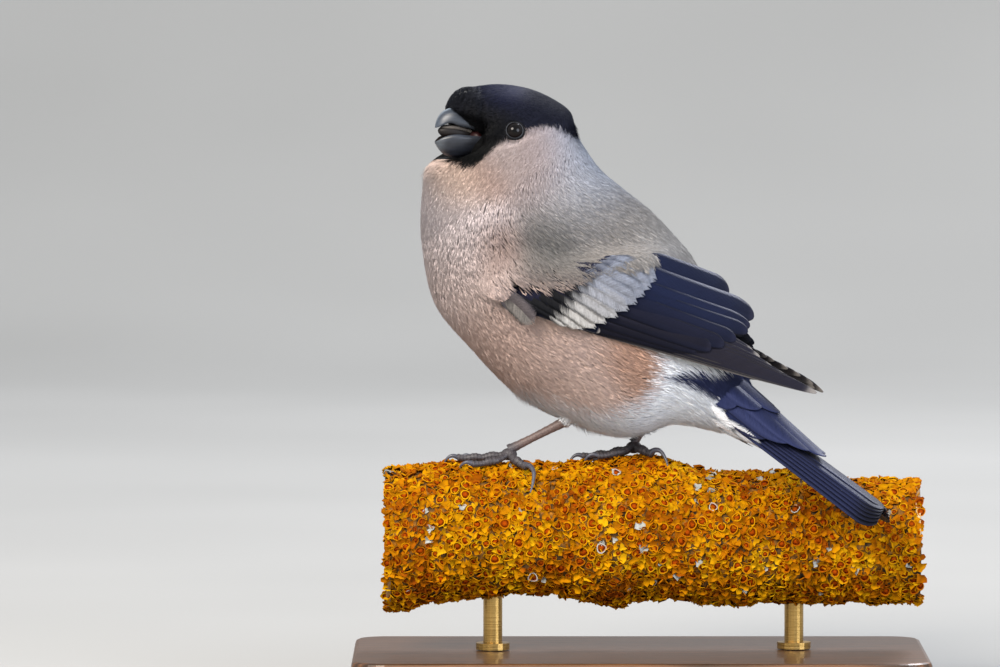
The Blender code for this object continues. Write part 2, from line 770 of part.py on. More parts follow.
# Feathers
VANE_PLACES = (0.0, 0.4, 0.84, 1.0)
VANE_WIDTHS = (0.6, 1.0, 0.9, 0.4)


def vane_mesh(middles, normals, half_width, thickness, widths=VANE_WIDTHS):
    """A closed flat feather along a path, split into triangles alike above and below."""
    points, faces = [], []
    for i, (middle, normal) in enumerate(zip(middles, normals)):
        ahead = middles[min(i + 1, len(middles) - 1)] - middles[max(i - 1, 0)]
        side = normal.cross(ahead).normalized() * (half_width * widths[i])
        drop = normal * thickness
        points += [middle - side, middle + side, middle + side - drop, middle - side - drop]
    for i in range(len(middles) - 1):
        a, b = 4 * i, 4 * i + 4
        faces += [(a, a + 1, b + 1), (a, b + 1, b)]
        faces += [(a + 3, b + 2, a + 2), (a + 3, b + 3, b + 2)]
        faces += [(a + 1, a + 2, b + 2), (a + 1, b + 2, b + 1)]
        faces += [(a, b + 3, a + 3), (a, b, b + 3)]
    end = len(points) - 4
    faces += [(0, 1, 2, 3), (end, end + 1, end + 2, end + 3)]
    return mesh_from(points, faces)


def wing_form_mesh():
    b = math.radians(BODY_YAW)
    left = Vector((-math.sin(b), -math.cos(b), 0.0))
    rings = []
    count = (len(WING_FORM) - 1) * 4
    for i in range(count + 1):
        x, z, depth, width, tilt = spline(WING_FORM, i / 4)
        a = math.radians(tilt)
        middle = Vector((x, plan_y(x, 0.0), z))
        back = Vector((math.cos(a) * math.cos(b), -math.cos(a) * math.sin(b), math.sin(a)))
        ring = []
        for k in range(48):
            turn = 2 * math.pi * k / 48
            ring.append(middle + back * (math.cos(turn) * depth) + left * (math.sin(turn) * width))
        rings.append(ring)
    return mesh_from(*tube(rings))


def between(a, b, f):
    return tuple(p + (q - p) * f for p, q in zip(a, b))


def wing_vane(tree, root, tip, half_width, height):
    """A wing feather that rises from its sunk root to its height over the form."""
    middles, normals = [], []
    for f in VANE_PLACES:
        x, z = between(root, tip, f)
        place, normal = seen_from_left(tree, x, z)
        sunk = WING_ROOT_SINK * (1 - min(1.0, f / VANE_PLACES[1]))
        middles.append(place + normal * (height - 0.4 * f - sunk))
        normals.append(normal)
    return vane_mesh(middles, normals, half_width, WING_VANE_THICKNESS)


def wing_core_mesh(tree):
    """A plate on the form that carries the roots of the wing's feathers."""
    rings = []
    steps = 8
    across = 6
    for i in range(steps + 1):
        f = i / steps
        low, high = along(WING_CORE_LOWER, f), along(WING_CORE_UPPER, f)
        outer, inner = [], []
        for k in range(across + 1):
            x, z = between(low, high, k / across)
            place, normal = seen_from_left(tree, x, z)
            edge = 0.7 if k in (0, across) or i in (0, steps) else 0.0
            outer.append(place + normal * (0.3 - edge))
            inner.append(place - normal * WING_CORE_DEPTH)
        rings.append(outer + inner[::-1])
    return mesh_from(*tube(rings))


def wing_meshes(tree):
    meshes = [wing_core_mesh(tree)]
    for count, root_a, root_b, tip_a, tip_b, wide, high in WING_TIERS.values():
        for i in range(count):
            f = i / (count - 1)
            root, tip = between(root_a, root_b, f), between(tip_a, tip_b, f)
            half_width = wide[0] + (wide[1] - wide[0]) * f
            height = high[0] + (high[1] - high[0]) * f
            meshes.append(wing_vane(tree, root, tip, half_width, height))
    return meshes


def mirror_mesh(mesh, yaw, through):
    made = mesh.copy()
    for v in made.vertices:
        v.co = mirrored(v.co / MM, yaw, through) * MM
    made.flip_normals()
    return made


# Tail
def tail_frame():
    root, tip = Vector(TAIL_ROOT), Vector(TAIL_TIP)
    ahead = (tip - root).normalized()
    b = math.radians(BODY_YAW)
    left = Vector((-math.sin(b), -math.cos(b), 0.0))
    left = (left - ahead * left.dot(ahead)).normalized()
    up = ahead.cross(left)
    if up.z < 0:
        up = -up
    return root, ahead, left, up, (tip - root).length


def tail_vane(reach, aside, spread, roof, height):
    """A tail feather, from its offset to the left, its spread and the slope of its face in degrees."""
    root, ahead, left, up, length = tail_frame()
    a, s = math.radians(roof), math.radians(spread)
    flat = left * math.cos(a) - up * math.sin(a)
    normal = up * math.cos(a) + left * math.sin(a)
    way = ahead * math.cos(s) + flat * math.sin(s)
    base = root + flat * aside + normal * height
    middles = [base + way * (reach * length * f) - up * (TAIL_CURVE * f * f) for f in VANE_PLACES]
    return vane_mesh(middles, [normal] * len(middles), TAIL_HALF_WIDTH, TAIL_VANE_THICKNESS)


def around_tail(at, turn, lift=0.0):
    """A place on the oval of coverts round the tail at a share of its length, and its outward way."""
    root, ahead, left, up, length = tail_frame()
    f = min(1.0, at / COVERT_REACH)
    wide, high = between(COVERT_ROOT_OVAL, COVERT_TIP_OVAL, f)
    drop = COVERT_ROOT_DROP + (COVERT_TIP_DROP - COVERT_ROOT_DROP) * f
    a = math.radians(turn)
    out = left * (math.sin(a) * high) + up * (math.cos(a) * wide)
    middle = root + ahead * (at * length) - up * drop
    place = middle + left * (math.sin(a) * (wide + lift)) + up * (math.cos(a) * (high + lift))
    return place, out.normalized()


def covert_mesh(turn, start, reach, layer):
    """A covert over or under the tail's root."""
    places = [start + (reach - start) * f for f in VANE_PLACES]
    found = [around_tail(at, turn, 0.8 + COVERT_LAYER * layer) for at in places]
    middles, normals = [p for p, _ in found], [n for _, n in found]
    return vane_mesh(middles, normals, COVERT_HALF_WIDTH, TAIL_VANE_THICKNESS)


def tail_meshes():
    meshes = [tail_core_mesh()]
    for i in range(TAIL_PAIRS):
        for sign in (1, -1):
            f = i / (TAIL_PAIRS - 1)
            aside = sign * (TAIL_ASIDE[0] + (TAIL_ASIDE[1] - TAIL_ASIDE[0]) * f)
            spread = sign * (TAIL_SPREAD[0] + (TAIL_SPREAD[1] - TAIL_SPREAD[0]) * f)
            roof = sign * (TAIL_ROOF[0] + (TAIL_ROOF[1] - TAIL_ROOF[0]) * f)
            height = TAIL_TOP - TAIL_STEP * i - (TAIL_TOP if sign < 0 else 0.0)
            meshes.append(tail_vane(1.0 - TAIL_NOTCH * (1 - f), aside, spread, roof, height))
    for group in (UPPER_COVERTS, UNDER_COVERTS):
        for layer, (turn, start, reach) in enumerate(group):
            for side_turn in sorted({turn, -turn % 360}):
                meshes.append(covert_mesh(side_turn, start, reach, layer))
    return meshes


def tail_core_mesh():
    """The fleshy root that all the tail's feathers grow from, just inside the coverts."""
    rings = []
    for at in TAIL_CORE_PLACES:
        rings.append([around_tail(at, 360.0 * k / TAIL_CORE_SIDES)[0] for k in range(TAIL_CORE_SIDES)])
    return mesh_from(*tube(rings))


# The whole model
def build():
    whole = body_mesh()
    head_at, head_normal = cut_plane(HEAD_CUT)
    neck_at, neck_normal = cut_plane(NECK_CUT)
    half = GAP / 2
    eyes = eye_places(whole)

    head = sliced(whole, head_at + head_normal * half, -head_normal)
    rims = []
    for place, normal in eyes.values():
        rims.append(ring_mesh(place + normal * LID_HEIGHT, normal, LID_RADIUS, LID_THICKNESS))
    head = fuse("head", [head, *rims])
    for place, _ in eyes.values():
        head = cut(head, ball_mesh(place, EYE_RADIUS + GAP, 16, 8))
    upper, lower = upper_bill_mesh(), lower_bill_mesh()
    tongue = cut(tongue_mesh(), grown(lower, GAP))
    for mouth_piece in (upper, lower, tongue):
        head = cut(head, grown(mouth_piece, GAP), "MANIFOLD")
    upper = with_nostrils(upper)
    node("head", head, "cap", PARTS)
    node("bill_upper", upper, "horn", PARTS)
    node("bill_lower", lower, "horn", PARTS)
    node("tongue", tongue, "tongue", PARTS)
    for side, (place, _) in eyes.items():
        node(f"eye_{side}", ball_mesh(place, EYE_RADIUS, 14, 8), "eye", PARTS)

    neck = sliced(whole, head_at - head_normal * half, head_normal)
    neck = sliced(neck, neck_at + neck_normal * half, -neck_normal)
    for bill in (upper, lower):
        neck = cut(neck, grown(bill, GAP))
    node("neck", neck, "grey", PARTS)

    torso = sliced(whole, neck_at - neck_normal * half, neck_normal)
    tail = fuse("tail", tail_meshes(), "MANIFOLD")
    for side in SIDES:
        shank = tarsus_mesh(side)
        foot = cut(fuse("foot", toe_meshes(side)), grown(shank, GAP))
        leg = thigh_mesh(side)
        for neighbour in (torso, shank, foot):
            leg = cut(leg, grown(neighbour, GAP))
        torso = cut(torso, grown(shank, GAP))
        node(f"thigh_{side}", leg, "buff", PARTS)
        node(f"tarsus_{side}", shank, "leg", PARTS)
        node(f"foot_{side}", foot, "leg", PARTS)
    tail = cut(tail, grown(torso, GAP), "MANIFOLD")
    node("tail", tail, "wing", PARTS)

    form = tree_of(wing_form_mesh())
    wing = fuse("wing", wing_meshes(form), "MANIFOLD")
    near = cut(wing, grown(whole, GAP), "MANIFOLD")
    node("wing_left", near, "wing", PARTS)
    far = mirror_mesh(near, BODY_YAW, (HIP_X, 0.0, 0.0))
    far = cut(far, grown(near, GAP), "MANIFOLD")
    node("wing_right", far, "wing", PARTS)
    node("torso", torso, "buff", PARTS)

    branch = branch_mesh()
    node("perch_branch", branch, "lichen", PARTS)
    node("stand_base", base_mesh(), "base", PARTS)
    for i, x in enumerate(ROD_PLACES):
        node(f"stand_rod_{i + 1}", rod_mesh(x, branch), "brass", PARTS)


clear_scene()
PARTS = collection("bullfinch")
CUTTERS = collection("cutters", hidden=True)
MATERIALS = {name: material(name) for name in COLOURS}
build()
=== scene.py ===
# %% [markdown]
# # A life-size bullfinch on a lichen-covered branch
# This lesson dresses the solids of a still museum model: a female bullfinch that grips a cut
# length of branch on a small stand. The solids give every size and place. Here one skin takes
# over from the parts of flesh, real barbs of feather grow on it, and each hard part gets the
# finish of the real one. All sizes are in millimetres and are turned to metres when a mesh is made.

# %% Load the frame
import json
import math

import bmesh
import bpy
import numpy as np
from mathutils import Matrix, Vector
from mathutils.bvhtree import BVHTree

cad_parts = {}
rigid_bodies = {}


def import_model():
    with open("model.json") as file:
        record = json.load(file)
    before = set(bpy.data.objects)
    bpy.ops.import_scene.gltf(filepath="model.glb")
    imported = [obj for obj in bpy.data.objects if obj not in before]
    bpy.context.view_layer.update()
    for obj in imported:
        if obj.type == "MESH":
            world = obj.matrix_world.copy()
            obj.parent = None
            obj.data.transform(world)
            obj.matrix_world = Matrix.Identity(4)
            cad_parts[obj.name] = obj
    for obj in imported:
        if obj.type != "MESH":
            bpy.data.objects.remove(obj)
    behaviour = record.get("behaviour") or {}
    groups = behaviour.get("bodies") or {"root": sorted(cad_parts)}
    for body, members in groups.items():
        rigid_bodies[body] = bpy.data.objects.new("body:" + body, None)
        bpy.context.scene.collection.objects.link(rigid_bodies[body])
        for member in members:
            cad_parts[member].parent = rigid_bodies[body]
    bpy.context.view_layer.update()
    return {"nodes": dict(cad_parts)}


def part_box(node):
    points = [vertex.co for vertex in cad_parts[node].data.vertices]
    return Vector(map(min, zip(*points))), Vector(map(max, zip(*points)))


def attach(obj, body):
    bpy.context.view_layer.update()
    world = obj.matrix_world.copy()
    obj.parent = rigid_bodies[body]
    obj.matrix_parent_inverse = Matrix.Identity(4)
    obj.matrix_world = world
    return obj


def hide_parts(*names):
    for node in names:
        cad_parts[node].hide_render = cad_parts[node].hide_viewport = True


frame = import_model()
MM = 0.001
print("nodes:", ", ".join(sorted(frame["nodes"])))

# %% [markdown]
# Three small helpers serve the whole script. Colours are written as the hex codes that a picture
# program shows and turned to the linear values that a renderer adds up. One function adds a node
# of any kind with its settings and links, in a material or in Geometry Nodes. Every material
# starts from a Principled shader, with what is the same all over set on its own sockets.

# %% Helpers for colours, nodes and materials
def linear(code):
    values = np.array([int(code[i:i + 2], 16) / 255 for i in (1, 3, 5)])
    return np.where(values <= 0.04045, values / 12.92, ((values + 0.055) / 1.055) ** 2.4)


def rgba(code):
    return (*linear(code), 1.0)


def add(tree, kind, inputs=None, stops=None, **settings):
    """A node. inputs maps a socket's name or number to a value or to another node's socket."""
    node = tree.nodes.new(kind)
    for key, value in settings.items():
        setattr(node, key, value)
    for key, value in (inputs or {}).items():
        if isinstance(value, bpy.types.NodeSocket):
            tree.links.new(value, node.inputs[key])
        else:
            node.inputs[key].default_value = value
    for i, (place, colour) in enumerate(stops or ()):
        ramp = node.color_ramp.elements
        stop = ramp[i] if i < 2 else ramp.new(place)
        stop.position = place
        stop.color = rgba(colour)
    return node


def new_material(name, colour, roughness, constants=None):
    made = bpy.data.materials.new(name)
    made.use_nodes = True
    shader = made.node_tree.nodes["Principled BSDF"]
    shader.inputs["Base Color"].default_value = rgba(colour)
    shader.inputs["Roughness"].default_value = roughness
    for socket, value in (constants or {}).items():
        shader.inputs[socket].default_value = value
    return made, made.node_tree, shader


# %% [markdown]
# Meshes here hold up to a few hundred thousand corners, so they are filled from arrays in one
# go. Each can carry a colour for every point, which skin and feathers share, and a UV map.

# %% Helpers for meshes
def mesh_of(name, points, faces, colours=None, maps=None):
    """A mesh from points in mm, arrays of faces, colours for its points and UVs for its points."""
    mesh = bpy.data.meshes.new(name)
    corners = np.concatenate([f.ravel() for f in faces]).astype(np.int32)
    sizes = np.concatenate([np.full(len(f), f.shape[1]) for f in faces])
    mesh.vertices.add(len(points))
    mesh.vertices.foreach_set("co", (np.asarray(points) * MM).astype(np.float32).ravel())
    mesh.loops.add(len(corners))
    mesh.loops.foreach_set("vertex_index", corners)
    mesh.polygons.add(len(sizes))
    starts = np.concatenate([[0], np.cumsum(sizes)[:-1]]).astype(np.int32)
    mesh.polygons.foreach_set("loop_start", starts)
    mesh.update(calc_edges=True)
    if colours is not None:
        tints = mesh.color_attributes.new("plumage", "FLOAT_COLOR", "POINT")
        full = np.concatenate([colours, np.ones((len(points), 1))], 1)
        tints.data.foreach_set("color", full.astype(np.float32).ravel())
    for key, uv in (maps or {}).items():
        layer = mesh.uv_layers.new(name=key)
        layer.uv.foreach_set("vector", uv[corners].astype(np.float32).ravel())
    mesh.shade_smooth()
    return mesh


def piece(name, mesh, material, replaced=()):
    """A finished piece that rides on the model's one body."""
    obj = bpy.data.objects.new(name, mesh)
    bpy.context.scene.collection.objects.link(obj)
    mesh.materials.clear()
    mesh.materials.append(material)
    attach(obj, "root")
    if replaced:
        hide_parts(*replaced)
    triangles = sum(len(p.vertices) - 2 for p in mesh.polygons)
    print(f"{name}: {triangles} triangles")
    return obj


def unit(rows):
    return rows / np.maximum(np.linalg.norm(rows, axis=-1, keepdims=True), 1e-9)


def grid_faces(count, sides, closed=True):
    """Quads over count rings of points with so many sides each."""
    r, k = np.meshgrid(np.arange(count - 1), np.arange(sides if closed else sides - 1), indexing="ij")
    a = (r * sides + k).ravel()
    b = (r * sides + (k + 1) % sides).ravel()
    return np.stack([a, b, b + sides, a + sides], 1)


# %% [markdown]
# The camera stands where the photographer's did: three degrees above level, far off with a long
# lens. A picture point can then be turned to millimetres on the model, which is how the plumage's
# markings are placed below. The floor and backdrop are one plain pale sheet with a soft bend.

# %% Camera, floor and light
PIXELS_PER_MM = 3.68
PHOTO_ZERO = (640.0, 459.0, 62.0)
ELEVATION = math.radians(3.0)
CAMERA_DISTANCE = 2.4
VIEW_WIDTH = 1000.0 / PIXELS_PER_MM * MM
VIEW_CENTRE = Vector((-0.03804, 0.0, 0.0961 / math.cos(ELEVATION)))


def seen(points):
    """Picture x and y of places in mm."""
    x = PHOTO_ZERO[0] + PIXELS_PER_MM * points[:, 0]
    height = points[:, 2] * math.cos(ELEVATION) + points[:, 1] * math.sin(ELEVATION)
    return x, PHOTO_ZERO[1] - PIXELS_PER_MM * (height - PHOTO_ZERO[2])


def lamp(name, place, size, power, colour):
    data = bpy.data.lights.new(name, "AREA")
    data.shape = "DISK"
    data.size = size
    data.energy = power
    data.color = tuple(linear(colour))
    obj = bpy.data.objects.new(name, data)
    obj.location = place
    obj.rotation_euler = (VIEW_CENTRE - Vector(place)).to_track_quat("-Z", "Y").to_euler()
    bpy.context.scene.collection.objects.link(obj)


def backdrop_mesh():
    """A floor that bends up into a wall far behind the model."""
    bend, wall, near, half = 0.9, 3.0, -1.6, 3.2
    line = [(near, 0.0), (0.0, 0.0), (1.4, 0.0)]
    for i in range(1, 13):
        a = math.radians(90.0 * i / 12)
        line.append((1.4 + bend * math.sin(a), bend * (1 - math.cos(a))))
    line.append((1.4 + bend, wall))
    points = [(sx * half / MM, y / MM, z / MM) for y, z in line for sx in (-1, 1)]
    quads = np.array([(2 * i, 2 * i + 1, 2 * i + 3, 2 * i + 2) for i in range(len(line) - 1)])
    return mesh_of("backdrop", points, [quads])


camera_data = bpy.data.cameras.new("camera")
camera_data.sensor_width = 36.0
camera_data.lens = 36.0 * CAMERA_DISTANCE / VIEW_WIDTH
camera_data.clip_end = 20.0
camera = bpy.data.objects.new("camera", camera_data)
look = Vector((0.0, math.cos(ELEVATION), -math.sin(ELEVATION)))
camera.location = VIEW_CENTRE - look * CAMERA_DISTANCE
camera.rotation_euler = look.to_track_quat("-Z", "Y").to_euler()
bpy.context.scene.collection.objects.link(camera)
bpy.context.scene.camera = camera
bpy.context.scene.view_settings.view_transform = "Standard"

paper, paper_tree, paper_shader = new_material("matt studio paper", "#a3a29f", 0.95)
paper_place = add(paper_tree, "ShaderNodeTexCoord")
paper_grain = add(paper_tree, "ShaderNodeTexNoise", {"Vector": paper_place.outputs["Object"], "Scale": 3.0})
paper_tone = add(paper_tree, "ShaderNodeValToRGB", {"Fac": paper_grain.outputs["Fac"]},
                 [(0.3, "#9f9e9b"), (0.7, "#a7a6a3")])
paper_tree.links.new(paper_tone.outputs["Color"], paper_shader.inputs["Base Color"])
backdrop = bpy.data.objects.new("backdrop", backdrop_mesh())
bpy.context.scene.collection.objects.link(backdrop)
backdrop.data.materials.append(paper)

lamp("key", (-0.75, -1.25, 1.05), 0.9, 42.0, "#fff6ea")
lamp("fill", (1.2, -1.1, 0.5), 1.1, 20.0, "#eaf1ff")
lamp("rim", (0.6, 1.1, 1.3), 0.7, 26.0, "#f4f7ff")
world = bpy.data.worlds.new("soft room")
world.use_nodes = True
world.node_tree.nodes["Background"].inputs["Color"].default_value = rgba("#dfe4ea")
world.node_tree.nodes["Background"].inputs["Strength"].default_value = 1.0
bpy.context.scene.world = world
print("camera lens", round(camera_data.lens, 1), "mm")

# %% [markdown]
# The bird's body is one loft: ovals strung from the root of the tail to the forehead, each with
# its own size and tilt, and turned a little in plan. The same ovals shaped the solids, so a place
# is named by t, counted in sections from the tail, and by a turn round the body from the back.
# With that pair, feathers, skin and markings all share one simple map of the body.

# %% The body's loft
HIP_X = -11.0
NECK_X = -38.2
BODY_YAW = 22.0
HEAD_YAW = -20.0
HEAD_PITCH = 8.0
BODY_SECTIONS = (
    (25.5, 76.4, 7.4, 8.5, 57.6, 22.0),
    (16.6, 84.7, 14.8, 14.5, 57.8, 22.0),
    (7.6, 88.2, 22.6, 20.5, 60.0, 22.0),
    (-2.7, 95.6, 27.7, 25.0, 57.4, 22.0),
    (-14.3, 103.7, 31.0, 27.3, 53.7, 22.0),
    (-25.1, 113.5, 30.3, 27.8, 47.0, 22.0),
    (-33.0, 121.8, 29.3, 26.8, 40.5, 19.0),
    (-36.8, 131.9, 26.3, 24.5, 32.0, 10.0),
    (-38.2, 140.3, 23.2, 21.5, 23.1, -4.0),
    (-37.6, 146.9, 20.8, 18.0, 15.5, -16.0),
    (-36.0, 150.2, 18.6, 15.4, 18.6, -20.0),
    (-37.0, 152.8, 16.0, 14.2, 24.0, -20.0),
    (-40.9, 156.0, 12.2, 12.8, 38.0, -20.0),
    (-47.5, 156.2, 6.4, 9.3, 76.0, -20.0),
)
LAST = len(BODY_SECTIONS) - 1
FOREHEAD_TIP = 5.4
TAIL_ROOT_TIP = 3.0
GAPE = np.array((-46.0, 8.2, 150.5))
FACE_DENT = 4.7
FACE_REACH = 7.2
FACE_RISE = 2.6
FACE_START = -9.0
FEATHER_EDGE = ((-9.4, 12.0), (-8.2, 7.0), (-7.4, 2.5), (-6.5, 0.8), (-3.0, 0.1), (-0.6, -1.5), (0.9, -1.8), (6.84, 3.4), (7.6, 5.5), (8.8, 12.0))
NOSTRIL_PART = 1.8
EDGE_SWEEP = 0.03
BILL_ROOM = (8.0, 9.4)


def fade(value, low, high):
    """A smooth step from nought at low to one at high."""
    f = np.clip((value - low) / (high - low), 0, 1)
    return f * f * (3 - 2 * f)


def curve_rows(rows, t):
    """Values of a smooth curve through rows of numbers at t, counted in rows."""
    rows = np.asarray(rows, float)
    last = len(rows) - 1
    i = np.clip(np.floor(t).astype(int), 0, last - 1)
    f = (t - i)[:, None]
    p0, p1, p2, p3 = (rows[np.clip(i + k, 0, last)] for k in (-1, 0, 1, 2))
    bend = (2 * p0 - 5 * p1 + 4 * p2 - p3) * f**2 + (3 * p1 - p0 - 3 * p2 + p3) * f**3
    return 0.5 * (2 * p1 + (p2 - p0) * f + bend)


def head_axes():
    b, p = math.radians(HEAD_YAW), math.radians(HEAD_PITCH)
    forward = np.array((-math.cos(b) * math.cos(p), math.sin(b) * math.cos(p), math.sin(p)))
    left = np.array((-math.sin(b), -math.cos(b), 0.0))
    return forward, left, np.cross(forward, left)


def plan_y(x, yaw_part):
    slope = math.tan(math.radians(BODY_YAW))
    body = -slope * (x - HIP_X)
    head = -slope * (NECK_X - HIP_X) + math.tan(math.radians(-HEAD_YAW)) * (x - NECK_X)
    return body * (1 - yaw_part) + head * yaw_part


def feather_edge(aside, rise):
    """How far ahead of the mouth's corner the feathers reach, in mm. They part over the near nostril."""
    parted = NOSTRIL_PART * fade(aside, -1.0, 2.0) * fade(rise, 3.0, 6.0)
    swept = EDGE_SWEEP * np.clip(np.abs(aside) - 3.5, 0, None) ** 2
    return np.interp(rise - parted, *zip(*FEATHER_EDGE)) - swept


def dented(points):
    """Places moved back round the root of the bill, and behind the edge of its feathers."""
    forward, left, up = head_axes()
    away = points - GAPE
    ahead = away @ forward
    across = (away @ left) ** 2 + (away @ up - FACE_RISE) ** 2
    start = np.clip((ahead - FACE_START) / -FACE_START, 0.0, 1.0) ** 2
    points = points - forward * (FACE_DENT * start * np.exp(-across / FACE_REACH**2))[:, None]
    away = points - GAPE
    ahead, aside, rise = away @ forward, away @ left, away @ up
    across = (aside / BILL_ROOM[0]) ** 2 + ((rise + 0.3) / BILL_ROOM[1]) ** 2
    past = np.clip(ahead - feather_edge(aside, rise) + 0.35, 0, None)
    return points - forward * (past * (1 - fade(across, 1.0, 1.7)))[:, None]


def body_place(t, turn, lift):
    """Places on the body at t and turn, lifted off its surface. t runs a little past both ends."""
    t, turn, lift = (np.array(v, float) for v in np.broadcast_arrays(t, turn, lift))
    x, z, depth, width, tilt, yaw = curve_rows(BODY_SECTIONS, np.clip(t, 0, LAST)).T
    part = np.clip((BODY_YAW - yaw) / (BODY_YAW - HEAD_YAW), 0, 1)
    middle = np.stack([x, plan_y(x, part), z], 1)
    a, b = np.radians(tilt), np.radians(yaw)
    back = np.stack([np.cos(a) * np.cos(b), -np.cos(a) * np.sin(b), np.sin(a)], 1)
    left = np.stack([-np.sin(b), -np.cos(b), np.zeros_like(b)], 1)
    ring = back * (np.cos(turn) * (depth + lift))[:, None]
    ring = dented(middle + ring + left * (np.sin(turn) * (width + lift))[:, None]) - middle
    past = (np.clip(t - LAST, 0, 1) + np.clip(-t, 0, 1)) * math.pi / 2
    height = np.where(t > LAST, -(FOREHEAD_TIP + lift), TAIL_ROOT_TIP + lift) * np.sin(past)
    return middle + ring * np.cos(past)[:, None] + np.cross(back, left) * height[:, None]


def slopes(place, t, turn, lift):
    """How far t and turn move a place, and the outward normal there."""
    step = 0.01
    by_t = (place(t + step, turn, lift) - place(t - step, turn, lift)) / (2 * step)
    by_turn = (place(t, turn + step, lift) - place(t, turn - step, lift)) / (2 * step)
    return by_t, by_turn, unit(np.cross(by_t, by_turn))


nose = body_place(np.array([LAST + 1.0]), np.array([0.0]), 0.0)[0]
print("forehead at", nose.round(1), "mm")

# %% [markdown]
# ## Markings
# A female bullfinch wears a glossy black cap that takes in the face and a small bib, a blue-grey
# nape, a brown-grey back, a pinkish buff breast and a white vent and rump. The edges of these
# fields are outlines drawn on the near side in picture points, and colour inside the buff and
# grey field melts from one named area to the next. Because every place is first turned to its
# twin on the near side, both sides match, as they do on the real bird.

# %% Outlines and areas of the plumage
CAP_OUTLINE = (
    (425, 128), (436, 152), (443, 161), (451, 167), (463, 171), (475, 167), (485, 158), (497, 147),
    (512, 140), (525, 137), (529, 131), (546, 127), (561, 131), (573, 137), (600, 140), (600, 60),
    (425, 60),
)
WHITE_OUTLINE = (
    (655, 345), (664, 364), (657, 386), (641, 404), (612, 415), (582, 412), (556, 405), (520, 397),
    (480, 400), (480, 520), (900, 520), (900, 330), (700, 330),
)
WING_TOP_EDGE = (
    (530, 322), (514, 315), (506, 302), (509, 284), (530, 279), (556, 286), (585, 283), (600, 277), (652, 274),
    (692, 263),
)
WING_OUTLINE = WING_TOP_EDGE + (
    (724, 288), (753, 316), (820, 394), (712, 363), (609, 338), (548, 320), (520, 312),
)
# Three areas hold painted light: the breast's upper part is paler with painted light from the upper left, the back's
# edge is paler with a painted rim of light, and the scapular area is darker with painted shade.
PLUMAGE_AREAS = (
    ("nape", 592, 160, 36, "#b7c1d4"),
    ("cheek", 540, 165, 34, "#a39493"),
    ("ear", 505, 165, 22, "#ac9f9d"),
    ("throat", 458, 184, 22, "#e8c8b4"),
    ("throat side", 488, 182, 18, "#b19488"),
    ("upper breast painted light", 448, 225, 40, "#e3d6d8"),
    ("breast", 455, 285, 45, "#d0beba"),
    ("shoulder fringe", 496, 252, 20, "#866f65"),
    ("upper mantle", 590, 200, 40, "#a2a0a1"),
    ("mantle", 615, 235, 40, "#8e8780"),
    ("back edge painted rim light", 665, 235, 35, "#aeaaa7"),
    ("scapulars painted shade", 555, 250, 32, "#686663"),
    ("lower breast", 500, 345, 45, "#d2b6ab"),
    ("flank", 565, 355, 40, "#ceb3a7"),
    ("rear flank", 632, 362, 26, "#b9927d"),
    ("lower flank", 590, 395, 26, "#e1c5b8"),
)
BLUE_OUTLINE = (
    (668, 378), (682, 373), (705, 376), (745, 371), (800, 371), (800, 450), (775, 440), (752, 420), (730, 409),
    (708, 397), (692, 388), (676, 383),
)
# The first tone, the crown's blue, is partly the cap's own blue-black and partly a painted sheen on its top.
CAP_TONES = ((506, 84, 20, "#1d2140"), (545, 104, 26, "#191b2b"), (490, 118, 24, "#0b0c10"), (470, 150, 22, "#060606"),
             (462, 96, 14, "#14161f"))
COVERT_BLUE = linear("#272c49")
WHITE_COLOUR = linear("#f1f3f8")


def edge_distance(x, y, outline, closed=True):
    """Distance in picture points to an outline, negative inside a closed one."""
    points = np.array(outline, float)
    ends = np.roll(points, -1, 0) if closed else points[1:]
    starts = points if closed else points[:-1]
    best = np.full(x.shape, 1e9)
    inside = np.zeros(x.shape, bool)
    for (ax, ay), (bx, by) in zip(starts, ends):
        f = np.clip(((x - ax) * (bx - ax) + (y - ay) * (by - ay)) / ((bx - ax) ** 2 + (by - ay) ** 2), 0, 1)
        best = np.minimum(best, np.hypot(x - ax - f * (bx - ax), y - ay - f * (by - ay)))
        if by != ay:
            crosses = ((ay > y) != (by > y)) & (x < (bx - ax) * (y - ay) / (by - ay) + ax)
            inside ^= crosses
    return np.where(inside & closed, -best, best)


def near_side(t, turn):
    """Picture points of places on the body, or of their twins on the near side."""
    folded = np.abs((turn + math.pi) % (2 * math.pi) - math.pi)
    return seen(body_place(t, folded, 0.0))


def melted(x, y, areas):
    """A colour that melts from one area to the next. Areas are x, y, reach and colour."""
    total = np.zeros((len(x), 3))
    weights = np.zeros(len(x))
    for ax, ay, reach, code in areas:
        weight = np.exp(-((x - ax) ** 2 + (y - ay) ** 2) / reach**2) + 1e-9
        total += weight[:, None] * linear(code)
        weights += weight
    return total / weights[:, None]


def plumage_colour(x, y, ragged=0.0):
    """Colour of the body's plumage at picture points, and how much of the cap there is in it."""
    colour = melted(x, y, [area[1:] for area in PLUMAGE_AREAS])
    white = fade(-edge_distance(x, y, WHITE_OUTLINE) + 3 * ragged, -12, 10)[:, None]
    colour = colour * (1 - white) + WHITE_COLOUR * white
    blue = fade(-edge_distance(x, y, BLUE_OUTLINE) + 1.2 * ragged, -3, 4)[:, None]
    colour = colour * (1 - blue) + COVERT_BLUE * blue
    cap = fade(-edge_distance(x, y, CAP_OUTLINE) + ragged, -1.5, 1.5)[:, None]
    colour = colour * (1 - cap) + melted(x, y, CAP_TONES) * cap
    return colour, cap[:, 0]


sample = plumage_colour(np.array([500.0, 450.0]), np.array([100.0, 250.0]))[0]
print("cap and breast, linear:", sample.round(3).tolist())
